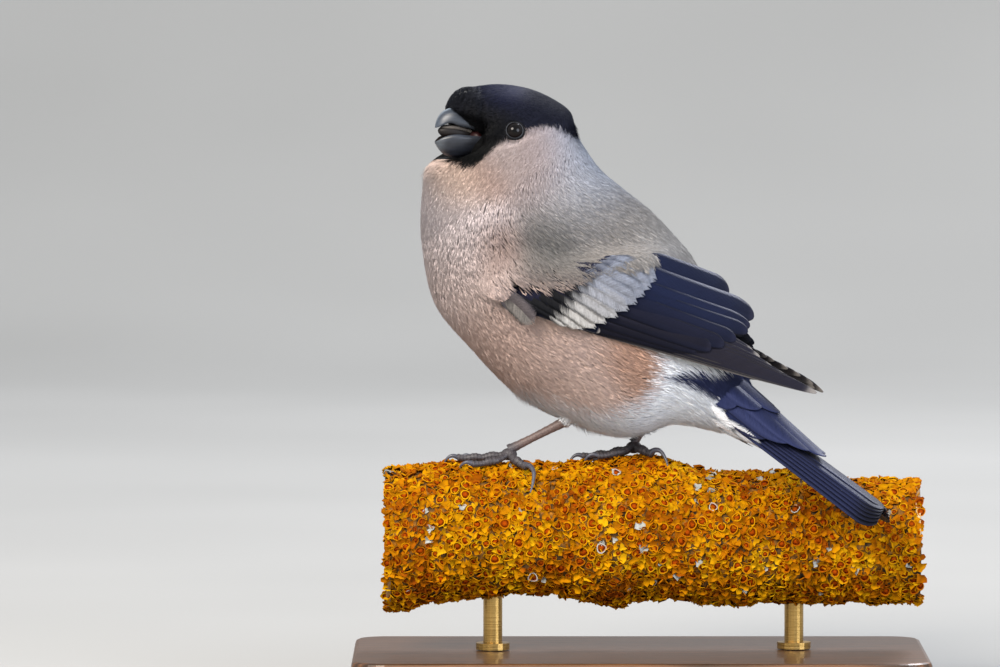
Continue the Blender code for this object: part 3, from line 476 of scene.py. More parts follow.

# %% [markdown]
# ## Skin
# Under its feathers the bird has one skin. It replaces the solids of head, neck, torso and
# thighs and lies inside them by the coat's depth, thin on the face and deep on the belly. It
# carries the same markings as the coat, darkened as painted shade for the gaps between barbs,
# so that a gap never shows a different colour. Its UV map is the plain unwrap by t and turn,
# which the feathers use as well.

# %% Skin of body and thighs
DEPTH_PLACES = (-1.0, 1.0, 4.0, 7.0, 9.0, 11.0, 12.5, 14.0)
DEPTH_VALUES = (1.4, 2.4, 2.2, 1.8, 1.4, 1.0, 0.8, 0.6)
SKIN_RINGS = 150
SKIN_SIDES = 128
SIDES = ("left", "right")
TARSUS_TOP = {"left": (-19.5, -4.5, 73.0), "right": (2.2, 3.4, 72.0)}
THIGH_ROOT = {"left": (-13.5, -5.5, 84.0), "right": (2.6, 3.6, 84.0)}
THIGH_RADII = ((7.2,), (5.6,), (3.6,), (1.7,))
THIGH_REACH = {"left": 0.06, "right": 0.3}


def coat_depth(t):
    return np.interp(t, DEPTH_PLACES, DEPTH_VALUES)


def unwrap(t, turn):
    """The skin's own UV: turn across, t upwards."""
    return np.stack([(turn / (2 * math.pi)) % 1.0 * 0.96 + 0.02, (t + 1) / (LAST + 2) * 0.9 + 0.02], 1)


def skin_mesh():
    t = np.repeat(np.linspace(-0.999, LAST + 0.999, SKIN_RINGS), SKIN_SIDES)
    turn = np.tile(np.linspace(0, 2 * math.pi, SKIN_SIDES, endpoint=False), SKIN_RINGS)
    points = body_place(t, turn, -coat_depth(t))
    ends = body_place(np.array([-1.0, LAST + 1.0]), np.zeros(2), -coat_depth(np.array([-1.0, LAST + 1.0])))
    points = np.concatenate([points, ends])
    quads = grid_faces(SKIN_RINGS, SKIN_SIDES)
    ring = np.arange(SKIN_SIDES)
    after = (ring + 1) % SKIN_SIDES
    base = (SKIN_RINGS - 1) * SKIN_SIDES
    low = np.stack([after, ring, np.full(SKIN_SIDES, len(points) - 2)], 1)
    high = np.stack([base + ring, base + after, np.full(SKIN_SIDES, len(points) - 1)], 1)
    t_all = np.concatenate([t, [-1.0, LAST + 1.0]])
    turn_all = np.concatenate([turn, [0.0, 0.0]])
    # The skin takes the coat's colours at seven tenths: painted shade for the gaps between barbs.
    colour = plumage_colour(*near_side(t_all, turn_all))[0] * 0.7
    return mesh_of("skin", points, [quads[:, ::-1], low[:, ::-1], high[:, ::-1]], colour,
                   {"OFBake": unwrap(t_all, turn_all)})


skin_draft = skin_mesh()
print("skin points", len(skin_draft.vertices))

# %% [markdown]
# Barbs are fine rods of keratin, matt where they are loose and glossy on the cap, whose tips are
# flattened. The material reads the colour that each point carries, breaks it with a noise about
# half a millimetre wide and adds the faint sheen of many edges seen together.

# %% Plumage materials
def barb_material(name, roughness, sheen, gloss, spread):
    made, tree, shader = new_material(name, "#ffffff", roughness, {
        "Sheen Weight": sheen, "Sheen Roughness": 0.5, "Specular IOR Level": gloss,
    })
    place = add(tree, "ShaderNodeTexCoord")
    tint = add(tree, "ShaderNodeAttribute", attribute_name="plumage")
    grain = add(tree, "ShaderNodeTexNoise", {"Vector": place.outputs["Object"], "Scale": 1900.0, "Detail": 2.0})
    tone = add(tree, "ShaderNodeMapRange", {
        "Value": grain.outputs["Fac"], "From Min": 0.3, "From Max": 0.7,
        "To Min": 1.0 - spread, "To Max": 1.0 + spread,
    })
    mixed = add(tree, "ShaderNodeVectorMath", {0: tint.outputs["Color"]}, operation="SCALE")
    tree.links.new(tone.outputs["Result"], mixed.inputs["Scale"])
    tree.links.new(mixed.outputs["Vector"], shader.inputs["Base Color"])
    own = add(tree, "ShaderNodeNewGeometry")
    lay = add(tree, "ShaderNodeAttribute", attribute_name="lay")
    facing = add(tree, "ShaderNodeVectorMath", {
        0: lay.outputs["Vector"], 1: (COAT_SMOOTHING,) * 3, 2: own.outputs["Normal"],
    }, operation="MULTIPLY_ADD")
    smooth = add(tree, "ShaderNodeVectorMath", {0: facing.outputs["Vector"]}, operation="NORMALIZE")
    tree.links.new(smooth.outputs["Vector"], shader.inputs["Normal"])
    return made


COAT_SMOOTHING = 2.0
loose_barbs = barb_material("loose keratin barbs", 0.85, 0.08, 0.08, 0.08)
glossy_barbs = barb_material("glossy black barbs", 0.6, 0.0, 0.12, 0.12)
bird_skin = barb_material("dry bird skin", 0.8, 0.0, 0.2, 0.2)
piece("skin", skin_draft, bird_skin, ("head", "neck", "torso"))

# %% [markdown]
# ## Coat
# A real contour feather is a shaft with loose barbs that bend with the body and end in a soft
# fringe. Hair curves would be lost when the model is exported, so every barb here is a closed
# blade with three sides: a ring at its root, a wider one half way and a pointed tip. Barbs stand
# in small fans, each fan a feather's end, and follow the body's own lines from bill to tail.

# %% Blades from arrays
BAKE_PATCH = 0.003


def blade_mesh(name, root, mid, tip, up, width, root_colour, tip_colour, uv):
    """One mesh of closed blades. Rows of the arrays are blades, and uv is each root's place."""
    count = len(root)
    side = unit(np.cross(tip - root, up)) * width[:, None]
    rise = unit(up) * width[:, None]
    points = np.empty((count, 7, 3))
    points[:, 0] = root - side * 0.3
    points[:, 1] = root + side * 0.3
    points[:, 2] = root + rise * 0.15
    points[:, 3] = mid - side * 0.5
    points[:, 4] = mid + side * 0.5
    points[:, 5] = mid + rise * 0.16
    points[:, 6] = tip
    first = (np.arange(count) * 7)[:, None]
    quads = np.concatenate([first + row for row in ((0, 3, 4, 1), (1, 4, 5, 2), (2, 5, 3, 0))])
    thirds = np.concatenate([first + row for row in ((3, 6, 4), (4, 6, 5), (5, 6, 3), (0, 1, 2))])
    colours = np.empty((count, 7, 3))
    colours[:, :3] = root_colour[:, None]
    colours[:, 3:6] = (0.35 * root_colour + 0.65 * tip_colour)[:, None]
    colours[:, 6] = tip_colour
    shift = np.array([(-0.5, 0), (0.5, 0), (0, 0), (-0.5, 0.5), (0.5, 0.5), (0, 0.5), (0, 1)]) * BAKE_PATCH
    maps = {"OFBake": (uv[:, None] + shift).reshape(-1, 2)}
    mesh = mesh_of(name, points.reshape(-1, 3), [quads, thirds], colours.reshape(-1, 3), maps)
    lay = mesh.attributes.new("lay", "FLOAT_VECTOR", "POINT")
    lay.data.foreach_set("vector", np.repeat(unit(up), 7, 0).astype(np.float32).ravel())
    return mesh


# %% [markdown]
# One function grows a stretch of coat. It takes the roots as pairs of t and turn, walks each
# barb along the body's map in three steps, and lifts it from the skin to the coat's surface.
# Walking on the map bends a barb round the body for nothing, where a straight one would stand
# off it. The wing lies on the body like a shield, and the feathers of the mantle and shoulder
# overlap its upper edge, so the coat is raised there to run over it.

# %% Growing a stretch of coat
rng = np.random.default_rng(11)
WING_HEIGHT = 5.4
FAR_LIFT = 0.15
FRINGES = ((428, 170, 13, 2.2), (530, 396, 16, 2.0), (590, 424, 20, 2.2), (640, 424, 20, 2.4), (578, 132, 10, 1.0))
ROOT_SCATTER = 4.0
SWELLS = ((473, 92, 12, 0.9), (520, 87, 26, -0.8), (430, 167, 10, 0.5), (556, 410, 18, 0.8), (600, 424, 24, 0.9))
EYE_CENTRES = {}


def coat_lift(x, y, near):
    """How far the coat rises over the wing's upper edge, and where it swells or is pressed flat."""
    off = edge_distance(x, y, WING_TOP_EDGE, closed=False)
    low_edge = 300 + (x - 500) * 0.32
    lift = WING_HEIGHT * (1 - fade(off, 4, 34)) * (1 - fade(y - low_edge, -6, 4)) * (1 - fade(x, 640, 688))
    lift = lift * np.where(near, 1.0, FAR_LIFT)
    for ax, ay, reach, height in SWELLS:
        lift = lift + height * np.exp(-((x - ax) ** 2 + (y - ay) ** 2) / reach**2)
    return lift


def grow(name, t, turn, length, width, barbs, fan, ruffle, material, streak, place=body_place):
    """A coat piece with a fan of barbs at each root."""
    count = len(t)
    t, turn, length, width = (np.repeat(v, barbs) for v in (t, turn, length, width))
    spread = np.tile(np.linspace(-1, 1, barbs), count) + rng.normal(0, 0.25, count * barbs)
    angle = np.radians(fan) * spread + np.repeat(rng.normal(0, np.radians(ruffle), count), barbs)
    reach = length * (1 - 0.22 * np.abs(spread)) * rng.uniform(0.82, 1.12, count * barbs)
    by_t, by_turn, normal = slopes(place, t, turn, 0.0)
    loose = 0.45 * width * ROOT_SCATTER
    t = np.clip(t + rng.normal(0, 1, len(t)) * loose / np.maximum(np.linalg.norm(by_t, axis=1), 1.5), -0.98, LAST + 0.98)
    turn = turn + rng.normal(0, 1, len(t)) * loose / np.maximum(np.linalg.norm(by_turn, axis=1), 1.5)
    depth = coat_depth(t)
    step_t = -reach * np.cos(angle) / np.maximum(np.linalg.norm(by_t, axis=1), 1.5)
    step_turn = reach * np.sin(angle) / np.maximum(np.linalg.norm(by_turn, axis=1), 1.5)
    float_up = np.repeat(np.abs(rng.normal(0, 0.017 * ruffle, count)), barbs) + rng.normal(0, 0.009 * ruffle, count * barbs)
    places = []
    near = np.sin(turn) > 0
    for f, share in ((0.0, 1.05), (0.45, 0.22), (1.0, 0.0)):
        t_now = np.clip(t + step_t * f, -0.98, LAST + 0.98)
        turn_now = turn + step_turn * f
        spot_x, spot_y = near_side(t_now, turn_now)
        over = coat_lift(spot_x, spot_y, near) * (1 - 0.25 * (f == 0))
        for ax, ay, reach_away, height in FRINGES if f == 1.0 else ():
            near_fringe = np.exp(-((spot_x - ax) ** 2 + (spot_y - ay) ** 2) / reach_away**2)
            over = over + height * near_fringe * rng.uniform(0, 1, len(t)) ** 2
        places.append(place(t_now, turn_now, over - depth * share + float_up * f * length / 4))
    root, mid, tip = places
    keep = np.ones(len(t), bool)
    for centre in EYE_CENTRES.values():
        for spot in places:
            keep &= np.linalg.norm(spot - centre, axis=1) > EYE_CLEAR
    keep &= ~in_bill(tip) & ~in_bill(mid)
    tufts = 3.5 * np.sin(spot_x * 0.33) + 2.0 * np.sin(spot_x * 0.9 + 1.0) + rng.normal(0, 1.5, len(t))
    keep &= edge_distance(spot_x, spot_y, WING_OUTLINE) > -12.0 - tufts
    t_tip = np.clip(t + step_t * 0.8, -0.98, LAST + 0.98)
    ragged = np.repeat(rng.normal(0, 1.2, count), barbs)
    colour, cap = plumage_colour(*near_side(t_tip, turn + step_turn * 0.8), ragged)
    shade = np.exp(rng.normal(0, streak, len(t)) + np.repeat(rng.normal(0, 0.5 * streak, count), barbs))
    tip_colour = np.clip(colour * shade[:, None] * 1.04, 0, 0.95)
    # Painted shade: each barb's root is darker than its tip, a little less so off the cap.
    root_colour = tip_colour * (0.55 + 0.1 * (1 - cap[:, None]))
    uv = unwrap(t, turn)
    rows = (root, mid, tip, normal, width, root_colour, tip_colour, uv)
    mesh = blade_mesh(name, *(row[keep] for row in rows))
    return piece(name, mesh, material)


# %% [markdown]
# The coat must leave room for the eyes and the bill. The eyes sit where the solids have them, and
# the bill's room is a blunt cone about its own axis.

# %% Room for eyes and bill
EYE_RADIUS = 2.5
EYE_CLEAR = EYE_RADIUS + 0.15
BILL_LENGTH = 10.4
for side in SIDES:
    low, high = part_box(f"eye_{side}")
    EYE_CENTRES[side] = np.array((low + high) / 2) / MM


def in_bill(points):
    """Whether places lie in the room of the bill and its open mouth."""
    forward, left, up = head_axes()
    away = points - GAPE
    ahead = away @ forward
    rise = away @ up
    close = np.clip(1 - (np.clip(ahead, 0, None) / (BILL_LENGTH + 0.5)) ** 2.3, 0, 1) ** 0.45
    across = ((away @ left) / (4.5 * close + 0.1)) ** 2 + ((rise + 0.3) / (7.3 * close + 0.1)) ** 2
    return (across < 1) & (ahead > feather_edge(away @ left, rise) - 0.1)


print("eyes at", {side: centre.round(1).tolist() for side, centre in EYE_CENTRES.items()})

# %% [markdown]
# Roots are strewn evenly: a low-discrepancy series fills the map, and each place is kept with a
# chance that follows the real area there and how dense that stretch of plumage is. Feathers are
# smallest on the face, grow longer down the body and are longest and loosest on the belly.

# %% Strewing the roots
CANDIDATES = 900000
LENGTH_PLACES = (-1.0, 1.0, 3.0, 5.0, 7.0, 9.0, 11.0, 12.5, 14.0)
LENGTH_VALUES = (8.0, 8.5, 7.4, 5.8, 4.8, 3.8, 2.9, 2.3, 1.8)
index = np.arange(CANDIDATES)
strewn_t = (0.5 + index * 0.8191725134) % 1.0 * (LAST + 1.96) - 0.98
strewn_turn = (0.5 + index * 0.6710436067) % 1.0 * 2 * math.pi
strewn_chance = (0.5 + index * 0.5497004779) % 1.0
area_t, area_turn, _ = slopes(body_place, strewn_t, strewn_turn, 0.0)
strewn_area = np.linalg.norm(np.cross(area_t, area_turn), axis=1)
strewn_x, strewn_y = near_side(strewn_t, strewn_turn)
strewn_length = np.interp(strewn_t, LENGTH_PLACES, LENGTH_VALUES)
bill_near = np.linalg.norm(body_place(strewn_t, strewn_turn, 0.0) - GAPE, axis=1)
strewn_length *= 0.45 + 0.55 * fade(bill_near, 4, 15)
in_wing = edge_distance(strewn_x, strewn_y, WING_OUTLINE) < -5
strewn_cap = plumage_colour(strewn_x, strewn_y)[1] > 0.5
strewn_back = np.abs((strewn_turn + math.pi) % (2 * math.pi) - math.pi)
total_area = strewn_area.mean() * (LAST + 1.96) * 2 * math.pi
print("body area", round(total_area), "square mm")


def roots(mask, per_area):
    """Which of the strewn places a stretch keeps, at so many roots per square millimetre."""
    chance = per_area * strewn_area * (LAST + 1.96) * 2 * math.pi / CANDIDATES
    return np.flatnonzero(mask & ~in_wing & (strewn_chance < chance))


def stretch(name, mask, per_area, thick, fan, ruffle, streak, material, barbs=4):
    chosen = roots(mask, per_area)
    length = strewn_length[chosen]
    width = thick * np.clip(length / 4.5, 0.6, 1.3)
    return grow(name, strewn_t[chosen], strewn_turn[chosen], length, width, barbs, fan, ruffle, material, streak)


# %% Cap, face and bib
left_side = strewn_turn < math.pi
face = strewn_cap & (strewn_t > 8)
on_crown = strewn_back < 1.35
stretch("coat_cap", face & on_crown, 2.9, 0.24, 10, 2.5, 0.06, glossy_barbs)
stretch("coat_face", face & ~on_crown, 4.2, 0.24, 14, 4, 0.06, glossy_barbs)

# %% Neck and cheeks
neck = ~strewn_cap & (strewn_t > 7.4)
stretch("coat_neck_left", neck & left_side, 4.4, 0.24, 9, 4, 0.09, loose_barbs)
stretch("coat_neck_right", neck & ~left_side, 2.0, 0.33, 9, 4, 0.09, loose_barbs)

# %% Mantle, breast, flanks, belly and rump
trunk = ~strewn_cap & (strewn_t <= 7.4) & (strewn_t > 2.6)
upper_side = strewn_back < 1.25
rear = ~strewn_cap & (strewn_t <= 2.6)
stretch("coat_mantle_left", trunk & upper_side & left_side, 2.5, 0.25, 8, 4, 0.13, loose_barbs)
stretch("coat_mantle_right", trunk & upper_side & ~left_side, 1.3, 0.34, 8, 4, 0.12, loose_barbs)
stretch("coat_breast_left", trunk & ~upper_side & left_side, 1.42, 0.28, 9, 4, 0.07, loose_barbs)
stretch("coat_breast_right", trunk & ~upper_side & ~left_side, 0.75, 0.40, 9, 5, 0.07, loose_barbs)
stretch("coat_rump", rear, 1.2, 0.32, 12, 6, 0.06, loose_barbs)

# %% [markdown]
# ## Feathers with a shape of their own
# Wing and tail feathers are stiff vanes, so each is a thin closed plate on a spine: cambered, with
# a raised shaft and two webs of unequal width. Soft coverts are made barb by barb over a smaller
# plate, which gives them the frayed edge that a plate can't have. Both kinds are gathered in
# sheaves, and each sheaf becomes one mesh.

# %% Vanes and barbed feathers
VANE_THICKNESS = 0.16
SHAFT_RISE = 0.13


def rounded(f, start, power=2.0):
    """A width that is full up to a place along the feather and closes round its tip."""
    past = np.clip((f - start) / (1 - start), 0, 1)
    return np.clip(1 - past**power, 0, 1) ** (1 / power)


def at_share(rows, f):
    """Values at shares of a feather's length, carried on a little beyond its ends."""
    place = f * (len(rows) - 1)
    i = np.clip(np.floor(place).astype(int), 0, len(rows) - 2)
    return rows[i] + (rows[i + 1] - rows[i]) * (place - i)[:, None]


def tip_stations(count):
    """Shares of a feather's length, closer together towards its tip."""
    s = np.linspace(0, 1, count)
    return 1 - (1 - s) ** 1.5


class Sheaf:
    """Plates gathered for one mesh."""

    def __init__(self, cells):
        self.cells = cells
        self.points, self.quads, self.caps, self.colours, self.bake, self.ruled = [], [], [], [], [], []
        self.count = 0
        self.plates = 0

    def plate(self, spine, normals, webs, width, colour, across=9, camber=0.10, stations=36):
        """A vane. webs are its half widths below and above the shaft, width and colour functions."""
        f = tip_stations(stations)
        line, normal = at_share(spine, f), unit(at_share(normals, f))
        ahead = unit(np.gradient(line, axis=0))
        side = unit(np.cross(normal, ahead))
        u = np.linspace(-1, 1, across)
        half = np.where(u < 0, webs[0], webs[1])
        reach = (width(f)[:, None] + 0.004) * (half * u)
        drop = camber * (reach**2) / max(webs) - SHAFT_RISE * np.exp(-((u / 0.12) ** 2)) * (1 - f[:, None])
        top = line[:, None] + side[:, None] * reach[..., None] - normal[:, None] * drop[..., None]
        under = top - normal[:, None] * VANE_THICKNESS
        ring = np.concatenate([top, under[:, ::-1]], 1)
        sides = ring.shape[1]
        length = np.linalg.norm(np.diff(spine, axis=0), axis=1).sum()
        tint = colour(np.repeat(f, across), np.tile(u, stations)).reshape(stations, across, 3)
        # The underside of each vane is its top colour at eight tenths: painted shade.
        self.colours.append(np.concatenate([tint, tint[:, ::-1] * 0.8], 1).reshape(-1, 3))
        place = np.stack([np.broadcast_to(u * 0.5 + 0.5, (stations, across)),
                          np.broadcast_to(f[:, None], (stations, across))], -1)
        cell = np.array(divmod(self.plates % self.cells**2, self.cells))
        bake = (cell + 0.06 + 0.88 * place) / self.cells
        back = (cell + 0.06 + 0.88 * np.stack([1 - place[..., 0], place[..., 1]], -1)) / self.cells
        self.bake.append(np.concatenate([bake, back[:, ::-1]], 1).reshape(-1, 2))
        ruled = np.stack([reach, np.broadcast_to(f[:, None] * length, reach.shape)], -1)
        self.ruled.append(np.concatenate([ruled, ruled[:, ::-1]], 1).reshape(-1, 2))
        self.points.append(ring.reshape(-1, 3))
        self.quads.append(grid_faces(stations, sides)[:, ::-1] + self.count)
        last = (stations - 1) * sides
        self.caps.append(np.arange(sides)[None] + self.count)
        self.caps.append(np.arange(sides)[None, ::-1] + last + self.count)
        self.count += stations * sides
        self.plates += 1

    def mesh(self, name, mirror=None):
        points = np.concatenate(self.points)
        faces = self.quads + self.caps
        if mirror is not None:
            points = mirror(points)
            faces = [face[:, ::-1] for face in faces]
        maps = {"OFBake": np.concatenate(self.bake), "vane": np.concatenate(self.ruled)}
        return mesh_of(name, points, faces, np.concatenate(self.colours), maps)


class Barbs:
    """Blades of many soft feathers gathered for one mesh."""

    def __init__(self):
        self.rows = []

    def feather(self, spine, normals, half, width, colour, count, thick, lean=1.5, uv=(0.5, 0.5)):
        """Barbs on both sides of a shaft. colour takes shares along and sides of the barbs' tips."""
        length = np.linalg.norm(np.diff(spine, axis=0), axis=1).sum()
        f = np.repeat(np.linspace(0.02, 0.97, count), 2) + rng.normal(0, 0.5 / count, 2 * count)
        sign = np.tile([-1.0, 1.0], count)
        run = lean * half * (0.7 + 0.3 * f) / length
        f_tip = f + run * rng.uniform(0.85, 1.1, len(f)) * (1 - 0.85 * fade(f, 0.45, 0.98))
        wide = half * width(np.clip(f, 0, 1)) * (1 - 0.75 * fade(f, 0.86, 1.0))
        wide = wide * rng.uniform(0.9, 1.06, len(f))
        normal = unit(at_share(normals, f))
        ahead = unit(at_share(spine, f + 0.01) - at_share(spine, f - 0.01))
        side = unit(np.cross(normal, ahead)) * sign[:, None]
        root = at_share(spine, f) + normal * 0.05
        mid = at_share(spine, f + 0.38 * run) + side * (wide * 0.6)[:, None] + normal * 0.06
        tip = at_share(spine, f_tip) + side * wide[:, None] - normal * (0.10 * wide)[:, None]
        tint = colour(f_tip, sign)
        shade = np.exp(rng.normal(0, 0.08, len(f)))[:, None]
        root_tint = colour(f, sign)
        place = np.array(uv) + np.zeros((len(f), 2))
        thickness = np.full(len(f), thick) * rng.uniform(0.8, 1.2, len(f))
        self.rows.append((root, mid, tip, normal, thickness, root_tint * shade, tint * shade, place))

    def mesh(self, name, mirror=None):
        rows = [np.concatenate(part) for part in zip(*self.rows)]
        if mirror is not None:
            for i in (0, 1, 2):
                rows[i] = mirror(rows[i])
            rows[3] = mirror(rows[3]) - mirror(np.zeros((1, 3)))
        return blade_mesh(name, *rows)


# %% [markdown]
# The folded wing lies on a smooth form a little above the body. A feather is drawn by the picture
# points of its root and tip, and the sight lines through them are followed until they meet the
# form. The far wing is the near one's mirror image about the body's middle plane.

# %% The wing's form
WING_FORM = (
    (-33.0, 121.8, 30.4, 28.6, 40.5),
    (-25.1, 113.5, 31.4, 29.6, 47.0),
    (-14.3, 103.7, 32.0, 29.0, 53.7),
    (-2.7, 96.0, 28.8, 26.5, 57.4),
    (9.0, 92.4, 21.2, 21.6, 61.5),
    (22.0, 88.6, 14.2, 15.2, 62.0),
    (32.4, 85.2, 8.4, 10.8, 61.0),
    (41.0, 82.2, 4.4, 7.4, 60.0),
    (48.6, 79.8, 1.8, 4.6, 58.0),
    (53.0, 78.6, 0.8, 2.6, 58.0),
)
FORM_RINGS = 73
FORM_SIDES = 64
FAR_WING_SHIFT = (-4.5, 1.5, -6.0)
BODY_LEFT = np.array((-math.sin(math.radians(BODY_YAW)), -math.cos(math.radians(BODY_YAW)), 0.0))


def form_tree():
    t = np.repeat(np.linspace(0, len(WING_FORM) - 1, FORM_RINGS), FORM_SIDES)
    turn = np.tile(np.linspace(0, 2 * math.pi, FORM_SIDES, endpoint=False), FORM_RINGS)
    x, z, depth, width, tilt = curve_rows(WING_FORM, t).T
    middle = np.stack([x, plan_y(x, 0.0), z], 1)
    a, b = np.radians(tilt), math.radians(BODY_YAW)
    back = np.stack([np.cos(a) * math.cos(b), -np.cos(a) * math.sin(b), np.sin(a)], 1)
    points = middle + back * (np.cos(turn) * depth)[:, None] + BODY_LEFT * (np.sin(turn) * width)[:, None]
    faces = grid_faces(FORM_RINGS, FORM_SIDES)
    return BVHTree.FromPolygons([Vector(p) for p in points], faces.tolist())


FORM = form_tree()
EYE_POINT = camera.location / MM
UPWARD = Vector((0.0, math.sin(ELEVATION), math.cos(ELEVATION)))
TO_CAMERA = np.array(-look)
SHEET_MIDDLE = (660.0, 320.0)
SHEET_REACH = 120.0


def sight(x, y):
    """The way from the camera through a picture point."""
    target = VIEW_CENTRE / MM + Vector((1, 0, 0)) * ((x - 500.0) / PIXELS_PER_MM)
    return (target + UPWARD * ((333.5 - y) / PIXELS_PER_MM) - EYE_POINT).normalized()


def sheet_terms(x, y):
    u, v = (x - SHEET_MIDDLE[0]) / SHEET_REACH, (y - SHEET_MIDDLE[1]) / SHEET_REACH
    return np.stack([np.ones_like(u), u, v, u * u, u * v, v * v, u**3, u * u * v, u * v * v, v**3, u**4], -1)


def fitted_sheet():
    """Depth of the wing behind its outline, as a polynomial through the form's own depths."""
    xs, ys = (grid.ravel() for grid in np.meshgrid(np.arange(505.0, 822, 6), np.arange(262.0, 396, 6)))
    inside = edge_distance(xs, ys, WING_OUTLINE) < 0
    hits = [(x, y, FORM.ray_cast(EYE_POINT, sight(x, y))) for x, y in zip(xs[inside], ys[inside])]
    hits = [(x, y, hit[0].y) for x, y, hit in hits if hit[0] is not None and abs(hit[1].y) > 0.35]
    x, y, depth = np.array(hits).T
    factors = np.linalg.lstsq(sheet_terms(x, y), depth, rcond=None)[0]
    print("wing sheet fits the form to", np.abs(sheet_terms(x, y) @ factors - depth).max().round(2), "mm")
    return factors


SHEET = fitted_sheet()


def sheet_place(x, y):
    depth = float(sheet_terms(np.array(x, float), np.array(y, float)) @ SHEET)
    way = sight(x, y)
    return np.array(EYE_POINT + way * ((depth - EYE_POINT.y) / way.y))


def on_form(x, y):
    """Place and normal on the wing's sheet behind a picture point."""
    place = sheet_place(x, y)
    by_x, by_y = sheet_place(x + 2, y) - place, sheet_place(x, y + 2) - place
    return place, unit(unit(np.cross(by_x, -by_y)) + TO_CAMERA * 1.0)


def laid(root, tip, bow, height, sink=1.4, count=24):
    """Spine and normals of a wing feather from picture points of its root and tip."""
    root, tip = np.array(root, float), np.array(tip, float)
    across = np.array((tip[1] - root[1], root[0] - tip[0])) / np.linalg.norm(tip - root)
    spine, normals = [], []
    for f in np.linspace(0, 1, count):
        x, y = root + (tip - root) * f + across * (bow * 4 * f * (1 - f))
        place, normal = on_form(x, y)
        rise = height - sink * (1 - min(1.0, f / 0.3)) - 0.35 * f
        spine.append(place + TO_CAMERA * (rise + 0.4))
        normals.append(normal)
    return smooth_rows(np.array(spine)), smooth_rows(np.array(normals))


def smooth_rows(rows, times=3):
    for _ in range(times):
        rows = np.concatenate([rows[:1], (rows[:-2] + 2 * rows[1:-1] + rows[2:]) / 4, rows[-1:]])
    return rows


def far_side(points):
    """Twins of places on the other side of the body's middle plane."""
    through = np.array((HIP_X, 0.0, 0.0))
    return points - BODY_LEFT * (2 * ((points - through) @ BODY_LEFT))[:, None]


def far_wing(points):
    """The far wing is held a little lower than the near one, and only their tips meet."""
    twins = far_side(points)
    return twins + np.array(FAR_WING_SHIFT) * (1 - fade(twins[:, :1], 22.0, 47.0))


def spread_over(row, f):
    """A value at a share of a curve through a few picture points."""
    return curve_rows(row, np.array([f * (len(row) - 1)]))[0]


# %% [markdown]
# Wing feathers come in tiers, lowest first: primaries, primary coverts, secondaries, tertials,
# greater coverts and the little feathers of the wing's bend. A tier is two curves, one through its
# roots and one through its tips, with the heights over the form, so that every feather overlaps
# the next one down as on the folded wing.

# %% Colours and tiers of the wing
BLUE_BLACK = linear("#06070d")
GLOSS_BLUE = linear("#0a0f20")
LILAC_EDGE = linear("#302e3b")
WING_BLACK = linear("#0e0e12")
WING_BROWN = linear("#1b1818")
PALE_EDGE = linear("#7d7873")
BAR_BLUE = linear("#747986")
BAR_WARM = linear("#a09e9c")
BEND_GREY = linear("#4b4547")
COVERT_GLOSS = linear("#14152b")


def blend(a, b, f):
    f = np.asarray(f)[:, None]
    return a * (1 - f) + b * f


def flight_colour(base, gloss, edge, edge_share, rim_share):
    """Colour of a flight feather: dark, glossier on the upper web, with painted shadow over the outer lower web, a pale
    lower edge and rim.
    """
    def colour(f, u):
        tint = blend(base, gloss, fade(u, -0.9, 0.5) * (1 - 0.5 * fade(f, 0.8, 1.0)))
        # Painted shadow: the outer part of the lower web is darkened, along the overlap between feathers.
        tint = tint * (1 - 0.55 * fade(-u, 0.55, 0.85))[:, None]
        tint = blend(tint, edge, edge_share * fade(-u, 0.86, 0.98) * fade(f, 0.25, 0.5))
        return blend(tint, edge, rim_share * fade(f, 0.955, 0.985))
    return colour


def wing_width(start, tip_power=2.0, narrow=0.0):
    def width(f):
        return (0.5 + 0.5 * fade(f, 0, 0.3)) * rounded(f, start, tip_power) * (1 - narrow * fade(f, 0.55, 1.0))
    return width


PRIMARY_TIPS = (
    (745, 346), (753, 351), (760, 357), (773, 368), (787, 377), (803, 386), (817, 393), (816, 393.5), (804, 390),
)
PRIMARY_ROOTS = ((566, 302), (524, 310))
SECONDARY_TIPS = ((748, 332), (736, 340), (724, 345.5), (711, 349), (697, 350), (682, 349))
SECONDARY_ROOTS = ((580, 276), (555, 313))
TERTIAL_TIPS = ((729, 293), (754, 316.5), (750, 326))
TERTIAL_ROOTS = ((632, 260), (608, 267), (596, 273))
BEND_TIPS = ((531, 321),)
BEND_ROOTS = ((498, 292),)
COVERT_TIPS = ((652, 278), (647, 286), (641, 294), (634, 302), (626, 309), (615, 316), (604, 322), (594, 327), (582, 328), (570, 325))
COVERT_ROOTS = ((596, 262), (560, 268), (526, 279), (505, 292))
OUTER_COVERT_TIPS = ((600, 332), (588, 329), (575, 325.5))
OUTER_COVERT_ROOTS = ((535, 305), (520, 306))
wing = Sheaf(8)
wing_barbs = Barbs()

